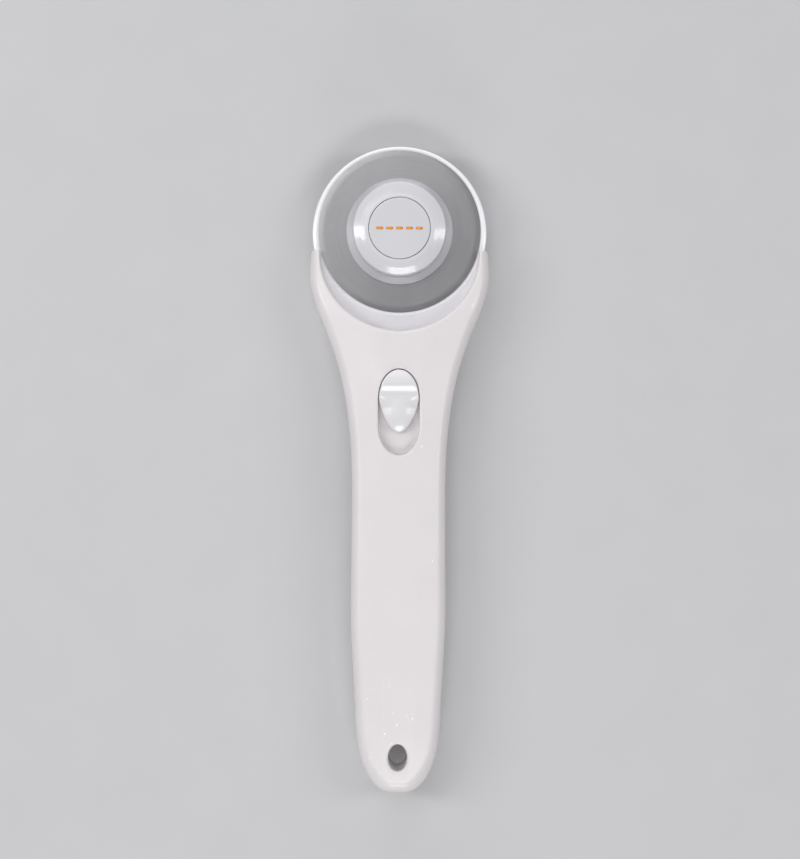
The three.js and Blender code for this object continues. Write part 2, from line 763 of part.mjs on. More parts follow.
// ---- Thumb slide --------------------------------------------------------------------------

function slideCarriage() {
  const half = CARRIAGE_W / 2;
  const sinks = CARRIAGE_SCREW_PLACES.map(([x, y]) =>
    disc(SMALL_SCREW.headD / 2 + SEAT, CARRIAGE_TOP - SMALL_SCREW.headH - SEAT, HANDLE_T,
      SMALL_ROUND, x, y),
  );
  const holes = CARRIAGE_SCREW_PLACES.map(([x, y]) =>
    disc(SMALL_SCREW.shankD / 2 + SEAT, CARRIAGE_Z - 1, HANDLE_T, SMALL_ROUND, x, y),
  );
  return cut(
    joined(
      prism(boxShape(-half, CARRIAGE_TAIL, half, CARRIAGE_HEAD), CARRIAGE_Z, CARRIAGE_TOP),
      prism(
        boxShape(-STEM_W / 2, STEM_Y - STEM_L / 2, STEM_W / 2, STEM_Y + STEM_L / 2),
        CARRIAGE_Z + CARRIAGE_T / 2,
        SLOT_FLOOR + 2,
      ),
    ),
    ...sinks,
    ...holes,
  );
}

// The button's plan: a half oval at its head that tapers to a round tip at its tail.
function buttonShape() {
  const half = SLOT_W / 2 - BUTTON_GAP;
  const waist = SLOT_HEAD - SLOT_END;
  const tip = BUTTON_HEAD - BUTTON_L;
  const flank = waist - (waist - tip) * 0.37;
  return new THREE.Shape()
    .moveTo(0, tip)
    .bezierCurveTo(half * 0.42, tip, half, flank, half, waist)
    .absellipse(0, waist, half, BUTTON_HEAD - waist, 0, Math.PI, false, 0)
    .bezierCurveTo(-half, flank, -half * 0.42, tip, 0, tip);
}

function slideButton() {
  const z0 = SLOT_FLOOR + RUN;
  const top = HANDLE_T + BUTTON_RISE;
  const options = {
    depth: top - z0 - BUTTON_EDGE,
    bevelThickness: BUTTON_EDGE,
    bevelSize: BUTTON_EDGE,
    bevelOffset: -BUTTON_EDGE,
    bevelSegments: 3,
    curveSegments: 10,
  };
  const form = solidOf(new THREE.ExtrudeGeometry(buttonShape(), options).translate(0, 0, z0));
  const scoop = new THREE.SphereGeometry(SCOOP_R, 32, 16);
  scoop.translate(0, STEM_Y - 1, top + SCOOP_R - SCOOP_DEPTH);
  const socket = boxShape(
    -STEM_W / 2 - SEAT,
    STEM_Y - STEM_L / 2 - SEAT,
    STEM_W / 2 + SEAT,
    STEM_Y + STEM_L / 2 + SEAT,
  );
  return cut(
    form,
    solidOf(scoop),
    prism(boxShape(-SLOT_W, SLOT_TAIL, SLOT_W, SLOT_HEAD), z0 - 2 * BUTTON_EDGE, z0),
    prism(socket, z0 - 1, SLOT_FLOOR + 2 + SEAT),
  );
}

// ---- Detent spring ------------------------------------------------------------------------

// A leaf from its root on the rear shell's post to its free end, with a bump under the guard.
function detentSpring() {
  const tail = SPRING_ROOT - SPRING_W * 0.6;
  const ramp = SPRING_W / 2;
  const lower = [
    point(tail, 0),
    point(SPRING_BUMP_Y - ramp, 0),
    point(SPRING_BUMP_Y, SPRING_BUMP),
    point(SPRING_BUMP_Y + ramp, 0),
    point(tail + SPRING_L, -SPRING_BUMP / 2),
  ];
  const upper = lower.map((p) => point(p.x, p.y + SPRING_T)).reverse();
  const geometry = new THREE.ExtrudeGeometry(new THREE.Shape([...lower, ...upper]), {
    depth: SPRING_W,
    bevelEnabled: false,
  });
  geometry.rotateY(Math.PI / 2).rotateX(Math.PI / 2);
  geometry.translate(-SPRING_W / 2, 0, SPRING_Z);
  return cut(
    solidOf(geometry),
    disc(STAKE_R + SEAT, 0, HANDLE_T, SMALL_ROUND, 0, SPRING_ROOT),
  );
}

// ---- Assembly -----------------------------------------------------------------------------

const cutter = new THREE.Group();
const fromAxle = new THREE.Group();
fromAxle.position.y = (TAIL_REACH - GUARD_FRONT) / 2;
cutter.add(fromAxle);

fromAxle.add(
  named("front_shell", frontShell(), FINISH.handle),
  named("rear_shell", rearShell(), FINISH.handle),
  named("carrier_plate", carrierPlate(), FINISH.plated),
  named("axle_bolt", axleBolt(), FINISH.plated),
  named("clamp_washer", clampWasher(), FINISH.clamp),
  named("hub_cap", hubCap(), FINISH.pearl),
  named("hub_badge", hubBadge(), FINISH.pearl),
  named("blade", blade(), FINISH.steel),
  named("blade_guard", bladeGuard(), FINISH.guard),
  named("slide_carriage", slideCarriage(), FINISH.slider),
  named("slide_button", slideButton(), FINISH.pearl),
  named("detent_spring", detentSpring(), FINISH.plated),
  named("wave_washer", waveWasher(), FINISH.plated),
  named("retaining_nut", retainingNut(), FINISH.slider),
  named("nut_insert", nutInsert(), FINISH.brass),
);

SHELL_SCREW_PLACES.forEach((place, i) => {
  const seat = SHELL_SCREW.sunk - SEAT;
  const screw = screwSolid(SHELL_SCREW, place, seat, SHELL_SCREW_TIP);
  fromAxle.add(named(`shell_screw_${i + 1}`, screw, FINISH.plated));
});

PLATE_SCREW_PLACES.forEach((place, i) => {
  const screw = screwSolid(SMALL_SCREW, place, PLATE_SCREW_SEAT, PLATE_SCREW_TIP);
  fromAxle.add(named(`plate_screw_${i + 1}`, screw, FINISH.plated));
});

CARRIAGE_SCREW_PLACES.forEach((place, i) => {
  const seat = CARRIAGE_TOP - SMALL_SCREW.headH;
  const screw = screwSolid(SMALL_SCREW, place, seat, GUARD_Z + SEAT);
  fromAxle.add(named(`carriage_screw_${i + 1}`, screw, FINISH.plated));
});

export default cutter;
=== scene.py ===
"""Rotary cutter: the looks of every piece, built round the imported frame.

The forms are worked in millimetres, from the blade's axle at x = y = 0 and from the back face at
z = 0, with y running towards the blade. A piece's mesh is placed in the frame, in metres, when it
is added to the scene.
"""
import json
import math

import bpy
import numpy as np
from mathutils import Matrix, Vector


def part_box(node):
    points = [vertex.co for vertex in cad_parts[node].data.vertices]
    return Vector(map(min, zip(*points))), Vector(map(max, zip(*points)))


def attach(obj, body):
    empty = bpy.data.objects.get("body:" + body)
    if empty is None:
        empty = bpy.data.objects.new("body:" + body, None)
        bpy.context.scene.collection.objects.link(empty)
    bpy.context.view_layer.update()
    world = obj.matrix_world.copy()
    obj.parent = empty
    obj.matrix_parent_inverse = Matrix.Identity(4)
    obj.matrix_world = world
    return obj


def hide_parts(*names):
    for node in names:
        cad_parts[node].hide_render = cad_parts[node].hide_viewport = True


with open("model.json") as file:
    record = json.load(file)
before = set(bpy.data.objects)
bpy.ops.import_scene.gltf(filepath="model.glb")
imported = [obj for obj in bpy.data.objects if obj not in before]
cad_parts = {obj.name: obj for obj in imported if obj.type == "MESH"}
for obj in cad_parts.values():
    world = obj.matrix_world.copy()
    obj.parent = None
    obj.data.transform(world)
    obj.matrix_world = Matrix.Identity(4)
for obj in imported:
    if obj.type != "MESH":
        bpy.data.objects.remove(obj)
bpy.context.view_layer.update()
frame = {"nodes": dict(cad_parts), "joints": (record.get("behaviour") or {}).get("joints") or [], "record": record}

bl_info = {
    "name": "Rotary cutter",
    "version": (1, 0, 0),
    "blender": (4, 5, 0),
    "location": "3D View > Sidebar > Cutter",
    "description": "Builds a rotary cutter with a sliding blade guard, and its studio",
    "category": "Add Mesh",
}

MM = 0.001


# ---- Sizes and places, read from the frame --------------------------------------------------

def middle(node):
    low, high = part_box(node)
    return (low + high) / 2


AXLE = np.array((middle("blade").x, middle("blade").y, 0)) / MM


class Span:
    """How far a node reaches, in millimetres from the axle and the back face."""

    def __init__(self, node):
        low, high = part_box(node)
        self.x0, self.y0, self.z0 = np.array(low) / MM - AXLE
        self.x1, self.y1, self.z1 = np.array(high) / MM - AXLE
        self.radius = (self.x1 - self.x0) / 2
        self.centre = ((self.x0 + self.x1) / 2, (self.y0 + self.y1) / 2)


FRONT = Span("front_shell")
REAR = Span("rear_shell")
BLADE = Span("blade")
GUARD = Span("blade_guard")
CLAMP = Span("clamp_washer")
CAP = Span("hub_cap")
BADGE = Span("hub_badge")
BUTTON = Span("slide_button")
CARRIAGE = Span("slide_carriage")
PLATE = Span("carrier_plate")
SPRING = Span("detent_spring")
BOLT = Span("axle_bolt")
NUT = Span("retaining_nut")
INSERT = Span("nut_insert")
SHELL_SCREWS = {f"shell_screw_{i}": Span(f"shell_screw_{i}") for i in (1, 2, 3, 4)}

# Clearances of the frame
RUN = 0.2
SEAT = 0.15

# Handle
TAIL_Y = FRONT.y0
HEAD_HALF = FRONT.x1
GRIP_HALF = 12.95
HIP_RUN = 24.1
HIP_TAPER = 1.05
WAIST_RUN = 43.8
WALL = 2.2
TAIL_BLOCK = 19
HORN_TIP_Y = FRONT.y1
SHOULDER_Y = 2 * HORN_TIP_Y
RECESS_R = BLADE.radius - 0.4
RECESS_Y = -6.05
RECESS_BOTTOM = RECESS_Y - RECESS_R
CAVITY_TAIL = TAIL_Y + TAIL_BLOCK
CAVITY_HEAD = RECESS_BOTTOM - WALL * 1.5
TAIL_THINNING = 2.5
TAIL_LIFT = 4
TAIL_LIFT_RUN = 26
HORN_DROP = 1.8
HANG_Y = TAIL_Y + 10.5
HANG_HALF = (2.6, 3.8)
HANG_EDGE = 0.55
ROOF_BAND = 0.37
ROOF_SOFTNESS = 0.45
SEAM_EDGE = 0.25
RIB_FILLET = 0.4

# Thumb slot
SLOT_HEAD = RECESS_BOTTOM - 10.15
SLOT_HALF_W = 5.7
SLOT_L = 23.8
SLOT_END = 8.2
SLOT_Y = SLOT_HEAD - SLOT_L / 2
SLOT_FLOOR = BUTTON.z0 - RUN
TRAY_T = 1.4
TRAVEL = next(j["range_m"][1] for j in frame["joints"] if j["name"] == "guard_slide") / MM

# Arm, plate and screws of the rear shell
ARM_R = 15
ARM_Z = 5.89
NUT_WELL_R = NUT.radius + 1
PLATE_HALF_W = 7.5
JOURNAL_R = 4
FLAT_HALF = 3
SCREW_BOSS_R = 3.2
SCREW_SUNK = 3.4
SCREW_HOLE_R = 1.45
SPRING_FOOT = 3
SPRING_FOOT_Y = SPRING.y0 + 2.4
SCREW_HEAD_R = 2.3
SCREW_SHANK_R = 1.25
CROSS_HALF_W = 0.36
CROSS_HALF_L = 1.3
CROSS_DEPTH = 1.1

# Guard, button stem, bolt and nut
GUARD_R = 24.2
GUARD_BACK = 0.5
SKIRT_R = RECESS_R + 0.6
TONGUE_HALF = 6
RIM_ROLL_START = 1.6
RIM_ROLL_BEND = 0.012
RIDGE_HEIGHT = 0.15
RIDGE_WIDTH = 0.22
STEM_Y = BUTTON.y1 - (BUTTON.y1 - BUTTON.y0) * 0.45
STEM_HALF_L = 2.5
STEM_HALF_W = 2
BUTTON_GROWTH = 0.14
STEP_RUN = 3.6
HEAD_BEND = 0.03
DOME_BEND = 0.062
DOME_RUN = (3.4, 7.2)
NOSE_BEND = 0.039
NOSE_START = 8.6
BOLT_HEAD_R = 5.5
BOLT_HEAD_H = 2
THREAD_R = 3
THREAD_PITCH = 1
THREAD_DEPTH = 0.4
INSERT_HALF = 4.7
NUT_DIP_R = 2.4
NUT_DIP_OUT = 1.2
NUT_DISH_R = 6.4
NUT_DISH_DEPTH = 0.6
NUT_HOLE_R = 3.2

# Studio, in metres from the axle. A softbox has its place, its width and depth, and its radiance.
CAMERA_HEIGHT = 0.47
CAMERA_BACK = 0.055
CAMERA_SIDE = 0.00033
CAMERA_LENS = 70.9
CAMERA_ROLL = math.radians(0.22)
FLOOR_HALF = 8
FLOOR_Z = -0.0001
WORLD_LIGHT = 0.24
SOFTBOXES = (
    ("Key softbox", (-0.24, 0.36, 1.0), (0.60, 0.60), 1.7),
    ("Left softbox", (-0.49, 0.04, 0.51), (0.14, 0.38), 8.0),
    ("Right softbox", (0.49, 0.02, 0.51), (0.12, 0.36), 6.0),
    ("Top softbox", (0.0, 0.78, 0.22), (0.80, 0.14), 8.0),
    ("Foot softbox", (0.03, -0.51, 0.61), (0.40, 0.17), 6.3),
    ("Low softbox", (0.02, -0.84, 0.28), (0.30, 0.14), 9.0),
)


# ---- Signed fields: below 0 inside, above 0 outside, in millimetres -------------------------

def both(a, b, r):
    """Inside a and b at once, with the edge between them rounded to radius r."""
    shared = np.minimum(np.maximum(a, b) + r, 0)
    return shared + np.hypot(np.maximum(a + r, 0), np.maximum(b + r, 0)) - r


def without(a, b, r):
    """Inside a and outside b, with the edge between them rounded to radius r."""
    return both(a, -b, r)


def joined(a, b, r):
    """Inside a or b, with a fillet of radius r between them."""
    return -both(-a, -b, r)


def ease(start, end, value):
    t = np.clip((value - start) / (end - start), 0, 1)
    return t * t * (3 - 2 * t)


def soft_over(value, softness):
    """value where it is above 0 and 0 below, turned over softly."""
    return (value + np.hypot(value, softness)) / 2


def post(x, y, centre, radius):
    return np.hypot(x - centre[0], y - centre[1]) - radius


def bar(x, y, low, high, radius):
    """A bar along y with round ends centred at low and high."""
    return np.hypot(x, y - np.clip(y, low, high)) - radius


def block(x, y, half_x, low, high):
    return np.maximum(np.abs(x) - half_x, np.maximum(low - y, y - high))


def oval(x, y, half_x, half_y):
    reach = np.hypot(x / half_x, y / half_y)
    slope = np.hypot(x / half_x**2, y / half_y**2)
    return reach * (reach - 1) / np.maximum(slope, 1e-6)


def thumb_slot(x, y, room=0.0):
    """Plan of the thumb slot: straight sides between two half ovals, with room all round."""
    straight = SLOT_L / 2 - SLOT_END
    past = np.maximum(np.abs(y - SLOT_Y) - straight, 0)
    return oval(x, past, SLOT_HALF_W + room, SLOT_END + room)


def bezier(start, leave, arrive, end, steps):
    t = np.linspace(0, 1, steps)[:, None]
    corners = [np.array(corner, float) for corner in (start, leave, arrive, end)]
    shares = ((1 - t) ** 3, 3 * (1 - t) ** 2 * t, 3 * (1 - t) * t**2, t**3)
    return sum(share * corner for share, corner in zip(shares, corners))


class Outline:
    """A plan outline, the same on both sides of x = 0, given from its low end to its high end."""

    CHUNK = 20000

    def __init__(self, *stretches):
        points = np.concatenate([stretches[0]] + [stretch[1:] for stretch in stretches[1:]])
        tangent = np.gradient(points, axis=0)
        length = np.hypot(tangent[:, 0], tangent[:, 1])
        self.points = points
        self.tangent = tangent / length[:, None]
        heading = np.unwrap(np.arctan2(self.tangent[:, 1], self.tangent[:, 0]))
        self.bend = np.gradient(heading) / length

    def _depth(self, places):
        gaps = (places[:, None, 0] - self.points[None, :, 0]) ** 2
        gaps += (places[:, None, 1] - self.points[None, :, 1]) ** 2
        near = gaps.argmin(axis=1)
        away = places - self.points[near]
        tangent = self.tangent[near]
        along = (away * tangent).sum(axis=1)
        outward = away[:, 0] * tangent[:, 1] - away[:, 1] * tangent[:, 0]
        return -outward - self.bend[near] * along**2 / 2

    def depth(self, x, y):
        """How far inside the outline a place is, in plan."""
        across, along = np.broadcast_arrays(np.abs(x), y)
        places = np.column_stack((across.ravel(), along.ravel()))
        parts = [self._depth(places[i:i + self.CHUNK]) for i in range(0, len(places), self.CHUNK)]
        return np.concatenate(parts).reshape(across.shape)

    def half_width(self, y):
        return np.interp(y, self.points[:, 1], self.points[:, 0])


def handle_outline():
    """Plan of the handle, from the tail to the tips of the horns."""
    hip = TAIL_Y + HIP_RUN
    waist = RECESS_BOTTOM - WAIST_RUN
    hip_half = GRIP_HALF - HIP_TAPER
    cheek = -HEAD_HALF * 0.465
    return Outline(
        np.linspace((0, TAIL_Y), (1.5, TAIL_Y), 4),
        bezier((1.5, TAIL_Y), (GRIP_HALF * 0.48, TAIL_Y), (hip_half - 0.15, TAIL_Y + 5),
               (hip_half, hip), 50),
        bezier((hip_half, hip), (hip_half + 1.9, hip + 33), (GRIP_HALF + 0.05, hip + 19),
               (GRIP_HALF, waist), 40),
        bezier((GRIP_HALF, waist), (GRIP_HALF, waist + 41.5), (HEAD_HALF - 0.26, cheek - 13.9),
               (HEAD_HALF, cheek), 50),
        bezier((HEAD_HALF, cheek), (HEAD_HALF, cheek + 2), (HEAD_HALF - 0.1, cheek + 4),
               (HEAD_HALF - 0.4, HORN_TIP_Y), 8),
        np.linspace((HEAD_HALF - 0.4, HORN_TIP_Y), (HEAD_HALF - 0.6, HORN_TIP_Y + 4), 4),
    )


HANDLE = handle_outline()


def arm_outline():
    """Plan of the rear shell's arm, from its shoulders to the round end under the axle."""
    shoulder = GUARD_R
    lift = math.radians(26)
    turn = np.linspace(lift, math.pi / 2, 30)
    boss = (ARM_R * math.cos(lift), ARM_R * math.sin(lift))
    return Outline(
        np.linspace((shoulder, SHOULDER_Y - 6), (shoulder, SHOULDER_Y), 6),
        bezier((shoulder, SHOULDER_Y), (shoulder, -5), (boss[0] + 4.4, boss[1] - 8), boss, 26),
        ARM_R * np.column_stack((np.cos(turn), np.sin(turn))),
    )


ARM = arm_outline()


def front_roof(x, y, tilt):
    """Height of the handle's front: a flat band down the middle and a facet on each side of it."""
    grip = (TAIL_Y + SLOT_Y) / 2
    thinning = TAIL_THINNING * np.clip((grip - y) / (grip - TAIL_Y), 0, 1) ** 2
    drop = HORN_DROP * ease(RECESS_BOTTOM + 5, HORN_TIP_Y, y)
    band = HANDLE.half_width(y) * ROOF_BAND
    return FRONT.z1 - thinning - drop - tilt * soft_over(np.abs(x) - band, ROOF_SOFTNESS)


def back_level(y):
    """Height of the handle's back above the table."""
    rise = ARM_Z * ease(RECESS_BOTTOM + 2, -NUT.radius - 1, y)
    return rise + TAIL_LIFT * (1 - ease(TAIL_Y, TAIL_Y + TAIL_LIFT_RUN, y))


def guard_room(x, y):
    """Plan of the space that the guard needs over its whole travel."""
    rim = post(x, y, (0, -GUARD_BACK - TRAVEL), GUARD_R + RUN)
    skirt = post(x, y, (0, RECESS_Y - TRAVEL), SKIRT_R + RUN)
    mouth = SHOULDER_Y - y
    tongue = block(x, y, TONGUE_HALF + RUN, CAVITY_HEAD - 1, 0)
    return np.minimum(np.minimum(rim, skirt), np.minimum(mouth, tongue))


def front_shell_field(x, y, z, settings):
    """The hollow front shell: bosses, slot with its tray, crescent, guard pocket, hanging hole."""
    tilt = settings.facet_tilt
    depth = HANDLE.depth(x, y)
    roof = front_roof(x, y, tilt)
    edge = settings.shell_edge / MM
    edge = edge * (1 + 0.45 * ease(TAIL_Y + 14, TAIL_Y + 2, y))
    body = both(-depth, (z - roof) * 0.72, edge)
    inner = both(WALL - depth, z - roof + WALL, 1)
    inner = np.maximum(inner, np.maximum(CAVITY_TAIL - y, y - CAVITY_HEAD))
    shell = without(body, inner, 0.3)
    for screw in SHELL_SCREWS.values():
        boss = np.maximum(post(x, y, screw.centre, SCREW_BOSS_R), z - roof + WALL / 2)
        shell = joined(shell, np.maximum(boss, WALL / 2 - depth), RIB_FILLET)
    tray = np.maximum(thumb_slot(x, y, TRAY_T), CARRIAGE.z1 - 2 - TRAY_T - z)
    shell = joined(shell, np.maximum(tray, z - roof + WALL / 2), RIB_FILLET)
    shell = both(shell, FRONT.z0 - z, SEAM_EDGE)
    shell = both(shell, y - HORN_TIP_Y, 0.9)
    lean = settings.crescent_lean / MM * np.clip((z - BLADE.z1) / (FRONT.z1 - BLADE.z1), 0, 1)
    shell = both(shell, RECESS_R - lean - np.hypot(x, y - RECESS_Y), settings.crescent_edge / MM)
    shell = without(shell, np.maximum(guard_room(x, y), z - GUARD.z1 - RUN), 0.2)
    shell = without(shell, both(thumb_slot(x, y), SLOT_FLOOR - z, 0.5), 0.2)
    stem_tail = STEM_Y - STEM_HALF_L - RUN - TRAVEL
    stem = block(x, y, STEM_HALF_W + RUN, stem_tail, STEM_Y + STEM_HALF_L + RUN)
    shell = without(shell, np.maximum(stem, z - SLOT_FLOOR - 1), 0.2)
    for screw in SHELL_SCREWS.values():
        pilot = post(x, y, screw.centre, SCREW_HOLE_R)
        shell = without(shell, np.maximum(pilot, z - screw.z1 - 1), 0.15)
    return without(shell, oval(x, y - HANG_Y, *HANG_HALF), HANG_EDGE)


def rear_shell_field(x, y, z, settings):
    """The hollow rear shell: bosses, spring foot, arm with its plate seat, nut well."""
    depth = HANDLE.depth(x, y)
    level = back_level(y)
    body = both(-depth, (level - z) * 0.8, settings.back_edge / MM)
    inner = both(WALL - depth, level + WALL - z, 2)
    inner = np.maximum(inner, np.maximum(CAVITY_TAIL - y, y - CAVITY_HEAD))
    shell = without(body, inner, 0.3)
    for screw in SHELL_SCREWS.values():
        boss = np.maximum(post(x, y, screw.centre, SCREW_BOSS_R), level + WALL / 2 - z)
        shell = joined(shell, np.maximum(boss, WALL / 2 - depth), RIB_FILLET)
    foot = block(x, y, SPRING_FOOT, SPRING_FOOT_Y - SPRING_FOOT, SPRING_FOOT_Y + SPRING_FOOT)
    foot = np.maximum(foot, z - SPRING.z0 + SEAT)
    shell = joined(shell, np.maximum(foot, level + WALL / 2 - z), RIB_FILLET)
    shell = both(shell, y - SHOULDER_Y, 0.5)
    arm = both(-ARM.depth(x, y), ARM_Z - z, 0.6)
    arm = np.maximum(arm, SHOULDER_Y - 4 - y)
    shell = joined(shell, arm, 1.0)
    shell = both(shell, z - REAR.z1, SEAM_EDGE)
    plate = np.minimum(post(x, y, (0, 0), PLATE.radius + SEAT),
                       bar(x, y, PLATE.y0 + PLATE_HALF_W, 0, PLATE_HALF_W + SEAT))
    shell = without(shell, np.maximum(plate, PLATE.z0 - SEAT - z), 0.15)
    key = np.maximum(np.abs(x) - FLAT_HALF - SEAT, np.hypot(x, y) - JOURNAL_R - SEAT)
    shell = without(shell, key, 0.15)
    well = both(np.hypot(x, y) - NUT_WELL_R, z - ARM_Z, 0.3)
    shell = without(shell, well, 0.4)
    for screw in SHELL_SCREWS.values():
        sink = np.maximum(post(x, y, screw.centre, screw.radius + RUN), z - SCREW_SUNK)
        hole = np.minimum(sink, post(x, y, screw.centre, SCREW_HOLE_R))
        shell = without(shell, hole, 0.3)
    return without(shell, oval(x, y - HANG_Y, *HANG_HALF), HANG_EDGE)


def guard_field(x, y, z, settings):
    """The guard: rim, skirt and tongue, with a ridge round the blade and a slot for the bolt."""
    radius = np.hypot(x, y)
    rim = np.hypot(x, y + GUARD_BACK) - GUARD_R
    skirt = post(x, y, (0, RECESS_Y), SKIRT_R)
    plan = np.minimum(np.minimum(rim, skirt), bar(x, y, GUARD.y0 + TONGUE_HALF, 0, TONGUE_HALF))
    roll = np.clip(radius - BLADE.radius - RIM_ROLL_START, 0, 4)
    ridge = radius - BLADE.radius - settings.nest_gap / MM
    swell = RIDGE_HEIGHT * np.exp(-(ridge / RIDGE_WIDTH) ** 2)
    top = GUARD.z1 - RIM_ROLL_BEND * roll**2 + swell
    plate = both(plan, z - top, 0.55)
    plate = both(plate, GUARD.z0 - z, 0.3)
    return without(plate, bar(x, y, 0, TRAVEL, JOURNAL_R + RUN), 0.2)


def button_outline():
    """Plan of the thumb button: a half oval that tapers to a round tip towards the tail."""
    half = BUTTON.radius + BUTTON_GROWTH
    waist = SLOT_HEAD - SLOT_END
    flank = waist - (waist - BUTTON.y0) * 0.37
    turn = np.linspace(0, math.pi / 2, 40)
    crown = np.column_stack((half * np.cos(turn), waist + (BUTTON.y1 + 0.1 - waist) * np.sin(turn)))
    return Outline(
        bezier((0, BUTTON.y0), (half * 0.42, BUTTON.y0), (half, flank), (half, waist), 50),
        crown,
    )


def button_field(x, y, z, settings, outline):
    """The thumb button: a crest, a step down, a domed middle and a nose that falls away."""
    crest = BUTTON.y1 - settings.crest_back / MM
    ahead = np.maximum(y - crest, 0)
    behind = np.maximum(crest - y, 0)
    step = settings.step_depth / MM * ease(0, STEP_RUN, behind)
    dome = DOME_BEND * x**2 * ease(*DOME_RUN, behind)
    nose = NOSE_BEND * np.maximum(behind - NOSE_START, 0) ** 2
    top = BUTTON.z1 - HEAD_BEND * ahead**2 - step - dome - nose
    body = both(-outline.depth(x, y), (z - top) * 0.9, 0.4)
    body = both(body, BUTTON.z0 - z, 0.2)
    socket = block(x, y, STEM_HALF_W + SEAT, STEM_Y - STEM_HALF_L - SEAT, STEM_Y + STEM_HALF_L + SEAT)
    return without(body, np.maximum(socket, z - CARRIAGE.z1 - SEAT), 0.1)


def nut_field(x, y, z, lobes):
    """The finger nut, with a dip for each lobe, a dished back and a six-sided socket."""
    radius = np.hypot(x, y)
    angle = np.arctan2(y, x)
    pitch = 2 * math.pi / lobes
    folded = angle - pitch * np.round(angle / pitch)
    reach = NUT.radius + NUT_DIP_OUT
    dip = np.hypot(radius * np.cos(folded) - reach, radius * np.sin(folded)) - NUT_DIP_R
    dips = without(radius - NUT.radius, np.maximum(dip, z - NUT.z1 + 0.8), 0.7)
    body = both(dips, NUT.z0 - z, 0.8)
    body = both(body, z - NUT.z1, 0.3)
    dish = both(radius - NUT_DISH_R, z - NUT.z0 - NUT_DISH_DEPTH, 0.4)
    body = without(body, dish, 0.4)
    flats = np.maximum(np.abs(y), np.abs(x) * math.cos(math.pi / 6) + np.abs(y) / 2)
    socket = np.maximum(flats - INSERT_HALF - SEAT, INSERT.z0 - SEAT - z)
    return without(without(body, socket, 0.1), radius - NUT_HOLE_R, 0.25)


def threaded(x, y, z, radius):
    """A rolled thread of a given outer radius round x = y = 0."""
    turn = np.arctan2(y, x) / (2 * math.pi)
    valley = np.abs((z / THREAD_PITCH - turn) % 1 - 0.5) * 2
    return np.hypot(x, y) - radius + THREAD_DEPTH * valley


def shell_screw_field(x, y, z):
    """A screw on x = y = 0 with its crossed head at the low end."""
    span = SHELL_SCREWS["shell_screw_1"]
    radius = np.hypot(x, y)
    head = both(radius - SCREW_HEAD_R, span.z0 + 0.07 * radius**2 - z, 0.5)
    head = both(head, z - SCREW_SUNK + SEAT, 0.1)
    shank = both(threaded(x, y, z, SCREW_SHANK_R), z - span.z1, 0.3)
    shank = np.maximum(shank, SCREW_SUNK - SEAT - 0.5 - z)
    cross = np.minimum(np.maximum(np.abs(x) - CROSS_HALF_W, np.abs(y) - CROSS_HALF_L),
                       np.maximum(np.abs(y) - CROSS_HALF_W, np.abs(x) - CROSS_HALF_L))
    screw = joined(head, shank, 0.15)
    return without(screw, np.maximum(cross, z - span.z0 - CROSS_DEPTH), 0.1)


def bolt_field(x, y, z):
    """The axle bolt: round head, journal, two flats and a thread."""
    radius = np.hypot(x, y)
    seat = BOLT.z1 - BOLT_HEAD_H
    head = both(both(radius - BOLT_HEAD_R, z - BOLT.z1, 0.6), seat - z, 0.15)
    journal = np.maximum(radius - JOURNAL_R, np.maximum(REAR.z1 - z, z - seat - 0.5))
    keyed = np.maximum(radius - JOURNAL_R, np.abs(x) - FLAT_HALF)
    keyed = np.maximum(keyed, np.maximum(ARM_Z - z, z - REAR.z1 - 0.5))
    thread = both(threaded(x, y, z, THREAD_R), BOLT.z0 - z, 0.4)
    thread = np.maximum(thread, z - ARM_Z - 0.5)
    return joined(np.minimum(head, journal), np.minimum(keyed, thread), 0.1)


# ---- Skins of fields ------------------------------------------------------------------------

def slopes(field, points):
    reach = 0.01
    here = field(*points.T)
    steps = [field(*(points + reach * np.eye(3)[i]).T) for i in range(3)]
    return here, np.column_stack([(step - here) / reach for step in steps])


def settle(field, points, step):
    """Moves points onto the field's zero level."""
    value, slope = slopes(field, points)
    move = value / np.maximum((slope**2).sum(axis=1), 0.05)
    move = move[:, None] * slope
    length = np.linalg.norm(move, axis=1, keepdims=True)
    return points - move * np.minimum(1, step / 2 / np.maximum(length, 1e-9))


def relaxed(points, quads):
    """Each point drawn halfway to the mean of its neighbours."""
    sides = np.concatenate([quads[:, [i, (i + 1) % 4]] for i in range(4)])
    sides = np.unique(np.sort(sides, axis=1), axis=0)
    ends = np.concatenate((sides, sides[:, ::-1]))
    count = np.bincount(ends[:, 0], minlength=len(points))
    sums = [np.bincount(ends[:, 0], points[ends[:, 1], i], len(points)) for i in range(3)]
    mean = np.column_stack(sums) / np.maximum(count, 1)[:, None]
    return points + (mean - points) / 2


